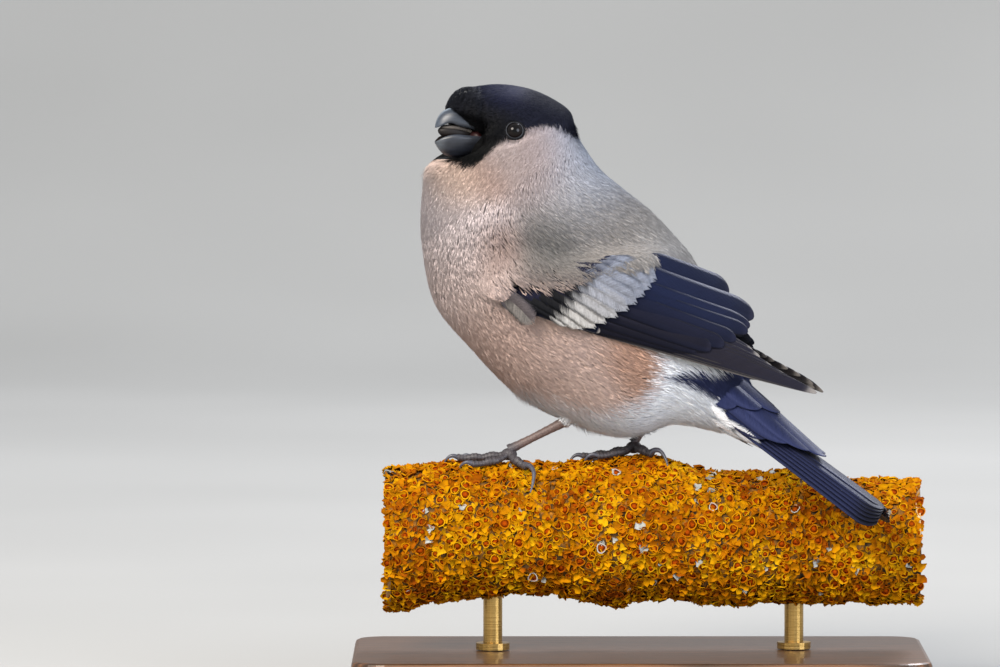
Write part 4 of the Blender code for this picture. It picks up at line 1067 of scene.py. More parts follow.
for i, tip in list(enumerate(PRIMARY_TIPS))[::-1]:
    share = i / (len(PRIMARY_TIPS) - 1)
    spine, normals = laid(spread_over(PRIMARY_ROOTS, share), tip, 5.0 - 4.0 * share, 0.75 - 0.65 * share)
    tint = flight_colour(WING_BROWN * (1 - 0.35 * (1 - share)), WING_BROWN, PALE_EDGE, 0.25 + 0.65 * fade(share, 0.8, 1.0), 0.9)
    wing.plate(spine, normals, (1.3, 3.1), wing_width(0.78, 1.8, 0.25), tint, stations=44)
for i, tip in list(enumerate(SECONDARY_TIPS))[::-1]:
    share = i / (len(SECONDARY_TIPS) - 1)
    spine, normals = laid(spread_over(SECONDARY_ROOTS, share), tip, -1.0, 1.75 - 0.85 * share)
    tint = flight_colour(blend(BLUE_BLACK, WING_BROWN * 0.3, [share])[0],
                         blend(GLOSS_BLUE, WING_BROWN * 0.6, [min(1, 1.6 * share)])[0], LILAC_EDGE, 0.1, 0.15)
    wing.plate(spine, normals, (1.7, 2.6), wing_width(0.91), tint)
for i, tip in list(enumerate(TERTIAL_TIPS))[::-1]:
    spine, normals = laid(TERTIAL_ROOTS[i], tip, (1.0, -1.0, -1.0)[i], (2.9, 2.5, 2.1)[i])
    tint = flight_colour(BLUE_BLACK, GLOSS_BLUE * 1.2, LILAC_EDGE, 0.15, 0.3)
    wing.plate(spine, normals, ((2.6, 4.4), (2.9, 4.7), (2.7, 3.0))[i], wing_width(0.84), tint, stations=40)
for i, tip in enumerate(OUTER_COVERT_TIPS[::-1]):
    share = i / (len(OUTER_COVERT_TIPS) - 1)
    spine, normals = laid(spread_over(OUTER_COVERT_ROOTS, 1 - share), tip, 1.0, 1.1 + 0.3 * share)
    tint = flight_colour(BLUE_BLACK, BLUE_BLACK, PALE_EDGE, 0.3, 0.9)
    wing.plate(spine, normals, (1.3, 1.5), wing_width(0.8), tint, stations=24)


def covert_colour(share):
    """A greater covert: blue-black with a broad pale tip, bluish on the upper ones."""
    pale = blend(BAR_BLUE, BAR_WARM, np.array([fade(share, 0.25, 0.8)]))[0]
    start = 0.24 + 0.50 * share

    def colour(f, side):
        edge = start + rng.normal(0, 0.015, len(f))
        dark = blend(BLUE_BLACK, COVERT_GLOSS, fade(side, -0.5, 0.5))
        return blend(dark, pale, fade(f, edge, edge + 0.05))
    return colour


for i, tip in list(enumerate(COVERT_TIPS))[::-1]:
    share = i / (len(COVERT_TIPS) - 1)
    spine, normals = laid(spread_over(COVERT_ROOTS, share), tip, 4.0, 3.1 - 1.0 * share, 3.0)
    tint = covert_colour(share)
    half = 3.3 - 1.0 * share
    wing_barbs.feather(spine, normals, half, wing_width(0.8), tint, 190, 0.2)
    wing.plate(spine - normals * 0.1, normals, (half * 0.7, half * 0.7), wing_width(0.7),
               lambda f, u: tint(f * 1.02, u), stations=24)

for i, tip in enumerate(BEND_TIPS):
    spine, normals = laid(BEND_ROOTS[i], tip, 2.0, 3.4 + 0.5 * i, 2.0)
    tint = flight_colour(BEND_GREY, BEND_GREY * 1.2, PALE_EDGE, 0.6, 0.8)
    wing.plate(spine - normals * 0.1, normals, (2.6, 2.6), wing_width(0.65), tint, stations=24)
    wing_barbs.feather(spine, normals, 3.1, wing_width(0.7), tint, 110, 0.16)

# %% The wings as pieces
def feather_material(name, gloss, tint, roughness, ribs):
    """Vanes: close-set barbs at a slant to the shaft, seen as fine ribs and a sheen along them."""
    made, tree, shader = new_material(name, "#ffffff", roughness, {
        "Specular IOR Level": gloss, "Specular Tint": rgba(tint), "Sheen Weight": 0.05,
    })
    colour = add(tree, "ShaderNodeAttribute", attribute_name="plumage")
    ruled = add(tree, "ShaderNodeUVMap", uv_map="vane")
    axes = add(tree, "ShaderNodeSeparateXYZ", {0: ruled.outputs["UV"]})
    off = add(tree, "ShaderNodeMath", {0: axes.outputs["X"]}, operation="ABSOLUTE")
    slant = add(tree, "ShaderNodeMath", {0: off.outputs[0], 1: -1.3, 2: axes.outputs["Y"]}, operation="MULTIPLY_ADD")
    across = add(tree, "ShaderNodeCombineXYZ", {"X": slant.outputs[0], "Y": axes.outputs["X"]})
    stretch_map = add(tree, "ShaderNodeMapping", {"Vector": across.outputs[0], "Scale": (1.0, 0.12, 1.0)})
    grain = add(tree, "ShaderNodeTexNoise", {"Vector": stretch_map.outputs[0], "Scale": 2.6, "Detail": 3.0})
    tone = add(tree, "ShaderNodeMapRange", {"Value": grain.outputs["Fac"], "From Min": 0.3, "From Max": 0.7,
                                            "To Min": 0.78, "To Max": 1.2})
    mixed = add(tree, "ShaderNodeVectorMath", {0: colour.outputs["Color"], "Scale": tone.outputs[0]}, operation="SCALE")
    tree.links.new(mixed.outputs[0], shader.inputs["Base Color"])
    wave = add(tree, "ShaderNodeTexWave", {"Vector": across.outputs[0], "Scale": 0.55, "Distortion": 1.2,
                                           "Detail": 2.0, "Detail Scale": 1.0})
    bump = add(tree, "ShaderNodeBump", {"Height": wave.outputs["Fac"], "Strength": ribs, "Distance": 0.00012})
    tree.links.new(bump.outputs["Normal"], shader.inputs["Normal"])
    return made


glossy_vanes = feather_material("glossy blue-black vanes", 0.2, "#98a4e8", 0.42, 0.35)
piece("wing_vanes_left", wing.mesh("wing_vanes_left"), glossy_vanes, ("wing_left",))
piece("wing_coverts_left", wing_barbs.mesh("wing_coverts_left"), glossy_barbs)
piece("wing_vanes_right", wing.mesh("wing_vanes_right", far_wing), glossy_vanes, ("wing_right",))
piece("wing_coverts_right", wing_barbs.mesh("wing_coverts_right", far_wing), glossy_barbs)

# %% [markdown]
# ## Tail
# Twelve feathers lie in a narrow fan, the middle pair on top, and a roof of glossy coverts runs
# down over their bases while long white ones cover them below.

# %% Tail feathers and coverts
TAIL_ROOT = np.array((14.5, -10.5, 86.2))
TAIL_TIP = np.array((67.3, -31.4, 50.9))
TAIL_PAIRS = 6
TAIL_ASIDE = (0.9, 4.0)
TAIL_SPREAD = (0.3, 2.4)
TAIL_ROOF = (8.0, 26.0)
TAIL_TOP = 0.2
TAIL_STEP = 0.14
TAIL_CURVE = 1.2
TAIL_NOTCH = 0.025
TAIL_WEBS = (3.7, 3.7)
COVERT_ROOT_OVAL = (8.6, 7.6)
COVERT_TIP_OVAL = (6.0, 1.9)
COVERT_DROP = (1.6, 1.7)
COVERT_REACH = 0.62
TAIL_LENGTH = float(np.linalg.norm(TAIL_TIP - TAIL_ROOT))
TAIL_WAY = (TAIL_TIP - TAIL_ROOT) / TAIL_LENGTH
TAIL_LEFT = unit(BODY_LEFT - TAIL_WAY * (BODY_LEFT @ TAIL_WAY))
TAIL_UP = np.cross(TAIL_WAY, TAIL_LEFT) * np.sign(np.cross(TAIL_WAY, TAIL_LEFT)[2])
TAIL_BLUE = linear("#0e1226")
TAIL_LILAC_HIGHLIGHT = linear("#20243c")
TAIL_BLACK = linear("#0c0c12")


def around_tail(at, turn, lift):
    """Places on the oval of coverts round the tail and their outward ways."""
    f = np.clip(at / COVERT_REACH, 0, 1)
    wide, high, drop = (a + (b - a) * f for a, b in zip((*COVERT_ROOT_OVAL, COVERT_DROP[0]), (*COVERT_TIP_OVAL, COVERT_DROP[1])))
    a = np.radians(turn)
    middle = TAIL_ROOT + TAIL_WAY * (at * TAIL_LENGTH)[:, None] - TAIL_UP * drop[:, None]
    place = middle + TAIL_LEFT * (np.sin(a) * (wide + lift))[:, None] + TAIL_UP * (np.cos(a) * (high + lift))[:, None]
    return place, unit(TAIL_LEFT * (np.sin(a) * high)[:, None] + TAIL_UP * (np.cos(a) * wide)[:, None])


def tail_colour(f, u):
    # The lilac towards both edges of a tail feather is a painted highlight.
    tint = blend(TAIL_BLUE, TAIL_LILAC_HIGHLIGHT, 0.55 * fade(np.abs(u), 0.5, 0.95))
    return blend(tint, TAIL_BLACK, fade(f, 0.86, 0.97))


tail = Sheaf(6)
for i in range(TAIL_PAIRS)[::-1]:
    for sign in (-1, 1):
        f = i / (TAIL_PAIRS - 1)
        roof = math.radians(sign * (TAIL_ROOF[0] + (TAIL_ROOF[1] - TAIL_ROOF[0]) * f))
        spread = math.radians(sign * (TAIL_SPREAD[0] + (TAIL_SPREAD[1] - TAIL_SPREAD[0]) * f))
        flat = TAIL_LEFT * math.cos(roof) - TAIL_UP * math.sin(roof)
        normal = TAIL_UP * math.cos(roof) + TAIL_LEFT * math.sin(roof)
        way = TAIL_WAY * math.cos(spread) + flat * math.sin(spread)
        height = TAIL_TOP - TAIL_STEP * i - (TAIL_TOP if sign < 0 else 0.0)
        base = TAIL_ROOT + flat * (sign * (TAIL_ASIDE[0] + (TAIL_ASIDE[1] - TAIL_ASIDE[0]) * f)) + normal * height
        share = np.linspace(0, 1, 24)[:, None]
        reach = 1.0 - TAIL_NOTCH * (1 - f)
        spine = base + way * (reach * TAIL_LENGTH * share) - TAIL_UP * (TAIL_CURVE * share**2)
        tail.plate(spine, np.repeat(normal[None], 24, 0), TAIL_WEBS, wing_width(0.93, 2.0), tail_colour, stations=44)


def covert_line(turn, start, reach, lift):
    at = np.linspace(start, reach, 20)
    return around_tail(at, np.full(20, float(turn)), lift)


def upper_covert_colour(f, u):
    # The coverts' lilac edges are a painted highlight. The coverts also darken towards their roots.
    return blend(TAIL_BLUE * 2.0, TAIL_LILAC_HIGHLIGHT * 1.6, 0.6 * fade(np.abs(u), 0.3, 1.0)) * (0.6 + 0.4 * fade(f, 0.0, 0.2))[:, None]


for turn, start, reach, lift in (
    (100, -0.02, 0.34, 0.5), (-100, -0.02, 0.34, 0.5), (76, -0.02, 0.44, 0.8), (-76, -0.02, 0.44, 0.8),
    (52, -0.03, 0.52, 1.1), (-52, -0.03, 0.52, 1.1), (30, -0.04, 0.60, 1.4), (-30, -0.04, 0.60, 1.4),
    (10, -0.05, 0.66, 1.7), (-10, -0.05, 0.64, 1.6), (64, -0.06, 0.26, 1.8), (-64, -0.06, 0.26, 1.8),
    (36, -0.06, 0.34, 2.1), (-36, -0.06, 0.34, 2.1), (8, -0.06, 0.40, 2.4),
):
    spine, normals = covert_line(turn, start, reach, lift)
    tail.plate(spine, normals, (3.9, 3.9), wing_width(0.72), upper_covert_colour, camber=0.35, stations=28)
under_barbs = Barbs()
for turn, start, reach, lift in (
    (130, -0.05, 0.42, 0.9), (-130, -0.05, 0.42, 0.9), (150, -0.05, 0.50, 0.6), (-150, -0.05, 0.50, 0.6),
    (170, -0.05, 0.56, 0.9), (190, -0.05, 0.56, 0.9), (118, -0.08, 0.26, 1.4), (-118, -0.08, 0.26, 1.4),
    (142, -0.10, 0.30, 1.5), (-142, -0.10, 0.30, 1.5), (166, -0.10, 0.34, 1.6), (194, -0.10, 0.34, 1.6),
):
    spine, normals = covert_line(turn, start, reach, lift)
    under_barbs.feather(spine, normals, 4.0, wing_width(0.6), lambda f, s: np.broadcast_to(WHITE_COLOUR, (len(f), 3)),
                        110, 0.46, 2.2)
piece("tail_vanes", tail.mesh("tail_vanes"), glossy_vanes, ("tail",))
piece("tail_under_coverts", under_barbs.mesh("tail_under_coverts"), loose_barbs)

# %% [markdown]
# ## Closed parts from rings
# Bill, toes, claws and lids are all rings of points strung on a path. Each ring may have its own
# outline, so a toe can carry scutes on top and pads below. Parts are joined into one mesh with a
# colour at every point, and a part that came out inside-out is turned by the sign of its volume.

# %% Rings, balls and their joining
def ring_part(rings, colours):
    """Points, faces and colours of a closed body over rings, shaped (rings, sides, 3)."""
    count, sides, _ = rings.shape
    points = rings.reshape(-1, 3)
    quads = grid_faces(count, sides)
    caps = [np.arange(sides)[None, ::-1], np.arange(sides)[None] + (count - 1) * sides]
    a, b, c, d = (points[quads[:, k]] for k in range(4))
    volume = (np.cross(a, b) * c).sum() + (np.cross(a, c) * d).sum()
    faces = [quads, *caps]
    if volume < 0:
        faces = [face[:, ::-1] for face in faces]
    colours = np.broadcast_to(colours, rings.shape).reshape(-1, 3)
    return points, faces, colours


def tube_part(path, radii, colours, sides=16, up=(0.17, 0.95, 0.26)):
    """A tube. radii holds a value for each ring, or for each point of each ring."""
    path, radii = np.asarray(path, float), np.asarray(radii, float)
    ahead = unit(np.gradient(path, axis=0))
    side = unit(np.cross(ahead, np.array(up)))
    rise = np.cross(side, ahead)
    a = np.linspace(0, 2 * math.pi, sides, endpoint=False)
    out = side[:, None] * np.cos(a)[:, None] + rise[:, None] * np.sin(a)[:, None]
    radii = radii[:, None] if radii.ndim == 1 else radii
    return ring_part(path[:, None] + out * np.broadcast_to(radii, (len(path), sides))[..., None], colours)


def ball_part(centre, radii, axes, colours, rings=24, sides=32):
    """An ellipsoid on three axes. The rings run along the first."""
    turn = np.linspace(0.02, math.pi - 0.02, rings)[:, None, None]
    a = np.linspace(0, 2 * math.pi, sides, endpoint=False)[None, :, None]
    first, second, third = (np.array(axis) * radius for axis, radius in zip(axes, radii))
    points = centre + first * np.cos(turn) + (second * np.cos(a) + third * np.sin(a)) * np.sin(turn)
    return ring_part(points, colours)


def joined(name, parts):
    points, faces, colours, count = [], [], [], 0
    for part_points, part_faces, part_colours in parts:
        points.append(part_points)
        faces += [face + count for face in part_faces]
        colours.append(part_colours)
        count += len(part_points)
    return mesh_of(name, np.concatenate(points), faces, np.concatenate(colours))


# %% [markdown]
# ## Bill and mouth
# The bill is short, deep and swollen, and stands a little open. Each half is a curved shell: an
# outer arch, and an inner one that is shallower and leaves a blunt cutting edge between them.
# Its horn is slate, paler along the ridge, where on the upper half a highlight is painted, with the dark red skin of
# the mouth's corner behind.

# %% Bill
BILL_BACK = -2.6
UPPER_LENGTH = 10.4
UPPER_HEIGHT = 6.75
CULMEN_BEND = 1.6
UPPER_HALF_WIDTH = 4.4
UPPER_EDGE = ((-2.6, 0.8), (0.0, 0.94), (2.4, 1.22), (5.0, 1.45), (6.7, 1.95), (8.0, 1.6), (9.2, 0.86), (10.4, -0.05))
LOWER_LENGTH = 9.9
LOWER_HALF_WIDTH = 4.1
LOWER_EDGE = ((-2.6, -0.6), (2.5, -0.88), (4.5, -0.85), (6.35, -1.25), (8.0, -2.0), (8.9, -2.66), (9.9, -3.8))
LOWER_KEEL = ((-2.6, -5.4), (1.2, -6.7), (3.2, -7.3), (4.9, -7.35), (6.4, -7.0), (7.57, -6.4), (8.6, -5.5), (9.3, -4.7), (9.9, -3.9))
BILL_ROWS = 56
BILL_ARCH = 25
FORWARD, LEFT, UP = head_axes()


def head_place(ahead, aside, rise):
    """Places in the head's own axes, in mm from the corner of the mouth."""
    ahead, aside, rise = np.broadcast_arrays(ahead, aside, rise)
    return GAPE + FORWARD * ahead[..., None] + LEFT * aside[..., None] + UP * rise[..., None]


def smooth_table(table, at):
    """Values of a smooth curve through a table of places and values."""
    places, values = np.array(table, float).T
    near = np.linspace(-0.5, 0.5, 5)
    return sum(np.interp(np.asarray(at) + shift, places, values) for shift in near) / len(near)


def upper_form(f):
    """Distance ahead, edge height, height of the arch and half width of the upper bill."""
    ahead = BILL_BACK + (UPPER_LENGTH - BILL_BACK) * f
    edge = smooth_table(UPPER_EDGE, ahead)
    top = UPPER_HEIGHT * rounded((ahead - CULMEN_BEND) / (UPPER_LENGTH - CULMEN_BEND), 0.0, 2.45) + 0.1
    return ahead, edge, np.maximum(top - edge, 0.05), UPPER_HALF_WIDTH * rounded(f, 0.0) + 0.06


def lower_form(f):
    ahead = BILL_BACK + (LOWER_LENGTH - BILL_BACK) * f
    edge = smooth_table(LOWER_EDGE, ahead)
    keel = smooth_table(LOWER_KEEL, ahead)
    return ahead, edge, np.minimum(keel - edge, -0.1), LOWER_HALF_WIDTH * rounded(f, 0.0) + 0.06


def bill_outer(form, f, a, grow_by=0.0):
    """Places on the outside of a half of the bill at shares f and angles a from its ridge."""
    ahead, edge, arch, half = form(f)
    aside = np.sign(np.sin(a)) * np.abs(np.sin(a)) ** 0.78 * (half + grow_by)
    rise = edge + (arch + math.copysign(grow_by, float(arch.ravel()[0]))) * np.clip(np.cos(a), 0, 1) ** 0.85
    return head_place(ahead, aside, rise)


def bill_part(form, ridge, side, edge_tone, tip_tone):
    f = (1 - (1 - np.linspace(0, 1, BILL_ROWS)) ** 1.6)[:, None] * 0.9995
    a = np.linspace(-math.pi / 2, math.pi / 2, BILL_ARCH)[None, :]
    outer = bill_outer(form, f, a)
    ahead, edge, arch, half = form(f)
    back = a[:, ::-1]
    inner = head_place(ahead, np.sin(back) * half * 0.8, edge + arch * 0.42 * np.cos(back))
    low = np.abs(a) / (math.pi / 2) + 0 * f
    tint = np.array(side) * np.ones((BILL_ROWS, BILL_ARCH, 1))
    # On the upper bill the ridge colour spread here is a painted highlight.
    top = (1 - fade(low, 0.02, 0.30))[..., None]
    tint = tint * (1 - top) + ridge * top
    rim = fade(low, 0.82, 1.0)[..., None] * 0.7
    tint = tint * (1 - rim) + edge_tone * rim
    tip = (fade(f, 0.75, 1.0) * np.ones_like(low))[..., None] * 0.6
    tint = tint * (1 - tip) + tip_tone * tip
    inside = np.ones((BILL_ROWS, BILL_ARCH, 3)) * linear("#2b2626")
    return ring_part(np.concatenate([outer, inner], 1), np.concatenate([tint, inside], 1))


def horn_material():
    made, tree, shader = new_material("slate horn of the bill", "#3a3f4a", 0.38, {"Specular IOR Level": 0.55})
    place = add(tree, "ShaderNodeTexCoord")
    tint = add(tree, "ShaderNodeAttribute", attribute_name="plumage")
    flow = add(tree, "ShaderNodeMapping", {"Vector": place.outputs["Object"], "Scale": (260.0, 900.0, 1400.0)})
    grain = add(tree, "ShaderNodeTexNoise", {"Vector": flow.outputs[0], "Scale": 1.0, "Detail": 5.0})
    tone = add(tree, "ShaderNodeMapRange", {"Value": grain.outputs["Fac"], "From Min": 0.3, "From Max": 0.7,
                                            "To Min": 0.72, "To Max": 1.25})
    mixed = add(tree, "ShaderNodeVectorMath", {0: tint.outputs["Color"], "Scale": tone.outputs[0]}, operation="SCALE")
    tree.links.new(mixed.outputs[0], shader.inputs["Base Color"])
    bump = add(tree, "ShaderNodeBump", {"Height": grain.outputs["Fac"], "Strength": 0.25, "Distance": 0.0001})
    tree.links.new(bump.outputs["Normal"], shader.inputs["Normal"])
    return made


horn = horn_material()
# The upper bill's pale ridge colour is a painted highlight along the culmen.
upper = bill_part(upper_form, linear("#84909d"), linear("#2f3641"), linear("#1d2026"), linear("#454c57"))
lower = bill_part(lower_form, linear("#2b2830"), linear("#1b1e26"), linear("#373c46"), linear("#575d64"))
piece("bill_upper_fine", joined("bill_upper_fine", [upper]), horn, ("bill_upper",))
piece("bill_lower_fine", joined("bill_lower_fine", [lower]), horn, ("bill_lower",))

# %% Tongue and the corner of the mouth
TONGUE_START = 0.6
TONGUE_LENGTH = 8.9
TONGUE_HALF_WIDTH = 2.3
TONGUE_HALF_THICKNESS = 0.95
MOUTH_RED = linear("#260a0c")
MOUTH_PAINTED_SHADE = linear("#0e0706")

flesh, flesh_tree, flesh_shader = new_material("moist tongue and mouth skin", "#a59a92", 0.5, {"Specular IOR Level": 0.3})
flesh_place = add(flesh_tree, "ShaderNodeTexCoord")
flesh_tint = add(flesh_tree, "ShaderNodeAttribute", attribute_name="plumage")
flesh_grain = add(flesh_tree, "ShaderNodeTexNoise", {"Vector": flesh_place.outputs["Object"], "Scale": 2600.0, "Detail": 3.0})
flesh_tone = add(flesh_tree, "ShaderNodeMapRange", {"Value": flesh_grain.outputs["Fac"], "To Min": 0.6, "To Max": 1.4})
flesh_mix = add(flesh_tree, "ShaderNodeVectorMath", {0: flesh_tint.outputs["Color"], "Scale": flesh_tone.outputs[0]}, operation="SCALE")
flesh_tree.links.new(flesh_mix.outputs[0], flesh_shader.inputs["Base Color"])


def tongue_part():
    f = np.linspace(0, 0.999, 30)
    ahead = TONGUE_START + (TONGUE_LENGTH - TONGUE_START) * f
    a = np.linspace(0, 2 * math.pi, 20, endpoint=False)
    close = rounded(f, 0.35, 2.2)[:, None]
    middle = (0.45 + 0.45 * np.sin(math.pi * f))[:, None]
    aside = np.sin(a) * TONGUE_HALF_WIDTH * close
    rise = middle + np.cos(a) * TONGUE_HALF_THICKNESS * close - 0.3 * np.exp(-((np.sin(a) / 0.3) ** 2)) * (np.cos(a) > 0) * close
    tint = np.array(linear("#6a645f")) * (1.0 - 0.35 * f[:, None, None])
    return ring_part(head_place(ahead[:, None], aside, rise), tint * np.ones((30, 20, 1)))


corner = ball_part(head_place(-1.1, 0.0, -0.9), (2.2, 4.15, 2.3), (FORWARD, LEFT, UP), MOUTH_RED)
# The lining of the mouth is nearly black: painted shade inside the open bill.
lining = ball_part(head_place(2.9, 0.0, -0.5), (6.6, 2.15, 2.4), (FORWARD, LEFT, UP), MOUTH_PAINTED_SHADE)
piece("tongue_fine", joined("tongue_fine", [tongue_part()]), flesh, ("tongue",))
piece("mouth_corner", joined("mouth_corner", [corner, lining]), flesh)

# %% [markdown]
# ## Eyes and lids
# A bullfinch's eye is nearly black: a deep brown iris round a black pupil under a clear, wet
# front that throws back the sky. Bare lids ring it, two fine folds of dark grey skin.

# %% Eyes and lids
PUPIL_ANGLE = 0.42
IRIS_ANGLE = 0.80
LID_RADIUS = 2.28
LID_HEIGHT = 1.12

eye_wet, eye_tree, eye_shader = new_material("wet dark eye", "#0a0706", 0.06, {
    "Specular IOR Level": 0.22,
})
eye_tint = add(eye_tree, "ShaderNodeAttribute", attribute_name="plumage")
eye_place = add(eye_tree, "ShaderNodeTexCoord")
eye_grain = add(eye_tree, "ShaderNodeTexNoise", {"Vector": eye_place.outputs["Object"], "Scale": 3500.0})
eye_tone = add(eye_tree, "ShaderNodeMapRange", {"Value": eye_grain.outputs["Fac"], "To Min": 0.7, "To Max": 1.3})
eye_mix = add(eye_tree, "ShaderNodeVectorMath", {0: eye_tint.outputs["Color"], "Scale": eye_tone.outputs[0]}, operation="SCALE")
eye_tree.links.new(eye_mix.outputs[0], eye_shader.inputs["Base Color"])


def eye_axis(side):
    """The outward way of an eye, from the loft's surface nearest to it."""
    t = np.repeat(np.linspace(8.5, 12, 60), 90)
    turn = np.tile(np.linspace(0, 2 * math.pi, 90, endpoint=False), 60)
    places = body_place(t, turn, 0.0)
    best = np.argmin(np.linalg.norm(places - EYE_CENTRES[side], axis=1))
    return slopes(body_place, t[best:best + 1], turn[best:best + 1], 0.0)[2][0]


for side in SIDES:
    axis = eye_axis(side)
    across = unit(np.cross(axis, UP))
    rise = np.cross(across, axis)
    angle = np.linspace(0.02, math.pi - 0.02, 40)
    iris = blend(linear("#040303"), linear("#0a0504"), fade(angle, PUPIL_ANGLE - 0.04, PUPIL_ANGLE + 0.04))
    eyeball = blend(np.array(iris), linear("#050404"), fade(angle, IRIS_ANGLE, IRIS_ANGLE + 0.08))
    ball = ball_part(EYE_CENTRES[side], (EYE_RADIUS,) * 3, (axis, across, rise), eyeball[:, None, :], 40, 48)
    piece(f"eye_{side}_wet", joined(f"eye_{side}_wet", [ball]), eye_wet, (f"eye_{side}",))
    lids = []
    for radius, thick, height, code in ((LID_RADIUS, 0.15, LID_HEIGHT, "#3a3c41"), (LID_RADIUS + 0.36, 0.26, LID_HEIGHT - 0.3, "#0d0d10")):
        turn = np.linspace(0, 2 * math.pi, 64, endpoint=False)
        out = across * np.cos(turn)[:, None] + rise * (0.94 * np.sin(turn))[:, None]
        path = EYE_CENTRES[side] + axis * height + out * radius
        b = np.linspace(0, 2 * math.pi, 10, endpoint=False)
        crease = 1 + 0.16 * np.sin(turn * 23 + radius * 9)
        offsets = out[:, None] * np.cos(b)[:, None] + axis * np.sin(b)[:, None]
        rings = path[:, None] + offsets * (thick * crease)[:, None, None]
        rings = np.concatenate([rings, rings[:1]])
        lids.append(ring_part(rings, linear(code)))
    piece(f"eye_lids_{side}", joined(f"eye_lids_{side}", lids), bird_skin)

# %% [markdown]
# ## Legs and feet
# Bare shanks and toes are covered in scutes, plates that step down towards the claws, with soft
# pads underneath at each joint. The toes follow the branch's own outline, so that they grip it.

# %% The branch's outline
BRANCH_OUTLINE = (
    (-69.0, 59.6, 20.6), (-57.0, 61.4, 22.6), (-40.0, 61.6, 24.8), (-22.0, 61.4, 25.0), (-8.0, 62.4, 21.6),
    (3.0, 63.0, 23.8), (21.0, 58.8, 22.2), (43.0, 59.0, 22.6), (57.0, 57.0, 22.6), (76.0, 56.6, 22.4),
)
BRANCH_DEPTH = 0.96
BRANCH_SWING = 5.0
GAP = 0.3


def branch_place(x, turn, lift):
    """Places on the branch at x, turned round it from its top towards +Y in degrees, and lifted."""
    x, turn, lift = (np.array(v, float) for v in np.broadcast_arrays(x, turn, lift))
    stops = np.array([row[0] for row in BRANCH_OUTLINE])
    share = np.interp(x, stops, np.arange(len(stops)))
    _, top, under = curve_rows(BRANCH_OUTLINE, share.ravel()).T
    top, under = top.reshape(x.shape), under.reshape(x.shape)
    half, a = (top - under) / 2, np.radians(turn)
    y = BRANCH_SWING * ((x - stops[0]) / (stops[-1] - stops[0]) - 0.5)
    return np.stack([x, y + np.sin(a) * (half * BRANCH_DEPTH + lift), (top + under) / 2 + np.cos(a) * (half + lift)], -1)


# %% Shanks, toes and claws
TARSUS_FOOT_X = {"left": -35.6, "right": -1.6}
FOOT_TURN = {"left": -7.0, "right": 8.0}
TARSUS_RADIUS = 1.15
TOES = (
    ("inner", -10.5, 8.0, 17.0, 1.0),
    ("middle", -14.0, 0.0, 2.0, 1.1),
    ("outer", -10.0, -8.0, -15.0, 1.0),
    ("hind", 4.8, -6.0, -20.0, 1.2),
)
SHANK_TONE = linear("#66544f")
TOE_TONE = linear("#474245")
TOE_DARK = linear("#2c282b")
CLAW_TONE = linear("#454650")
CLAW_PAINTED_HIGHLIGHT = linear("#80848f")


def scuted(f, sides, count, step, around=0.6):
    """How scutes swell a tube: a step up at the head of each plate, round most of its front."""
    saw = (f * count) % 1.0
    a = np.linspace(0, 2 * math.pi, sides, endpoint=False)
    front = fade(np.sin(a), -around, 0.2)
    return 1 + step * (1 - saw)[:, None] * front, saw[:, None] * np.ones(sides)


def shank_part(side):
    top = np.array(TARSUS_TOP[side])
    low = branch_place(TARSUS_FOOT_X[side], FOOT_TURN[side], 2.2) + np.array((0, 0, 1.2))
    f = np.linspace(-0.35, 1.0, 110)
    path = top + (low - top) * f[:, None]
    radius = TARSUS_RADIUS * np.interp(f, (-0.35, 0.0, 0.3, 0.6, 0.85, 1.0), (1.1, 1.25, 1.0, 0.9, 1.0, 1.25))
    swell, saw = scuted(f + 0.35, 20, 10.0, 0.10)
    tint = SHANK_TONE * (1 - 0.45 * fade(saw, 0.86, 0.99))[..., None]
    low_tone = fade(f, 0.72, 0.98)[:, None, None]
    tint = tint * (1 - low_tone) + TOE_TONE * low_tone
    return tube_part(path, radius[:, None] * swell, tint, 20)


def toe_part(side, name, reach, turn_root, turn_end, radius):
    f = np.linspace(0, 1, 60)
    x = TARSUS_FOOT_X[side] + reach * f
    turn = FOOT_TURN[side] + turn_root * np.minimum(1.0, 3 * f) + (turn_end - turn_root) * f
    joints = 6 if name == "middle" else 4
    size = radius * (1 - 0.24 * f) * (1 + 0.13 * np.cos(f * math.pi * joints))
    path = branch_place(x, turn, size * 0.9 + GAP + 1.1 * (1 - f) ** 3)
    swell, saw = scuted(f, 18, abs(reach) * 1.05, 0.17, 1.1)
    tint = TOE_TONE * (1 - 0.6 * fade(saw, 0.7, 0.98))[..., None] * rng.uniform(0.85, 1.15, (60, 1, 1))
    return tube_part(path, size[:, None] * swell, tint, 18)


def claw_part(path, root_radius):
    """A claw: a curved horn cone, round in section, on a smooth curve through places."""
    f = np.linspace(0, 1, 30)
    line = curve_rows(path, f * (len(path) - 1))
    radius = root_radius * (1 - f) ** 0.72 + 0.09
    a = np.linspace(0, 2 * math.pi, 12, endpoint=False)
    # A painted highlight: one side of each claw is paler, more so towards its tip.
    tint = CLAW_TONE + (CLAW_PAINTED_HIGHLIGHT - CLAW_TONE) * np.clip(np.sin(a), 0, 1)[None, :, None] ** 3 * (0.3 + 0.7 * f[:, None, None])
    return tube_part(line, radius, tint, 12)


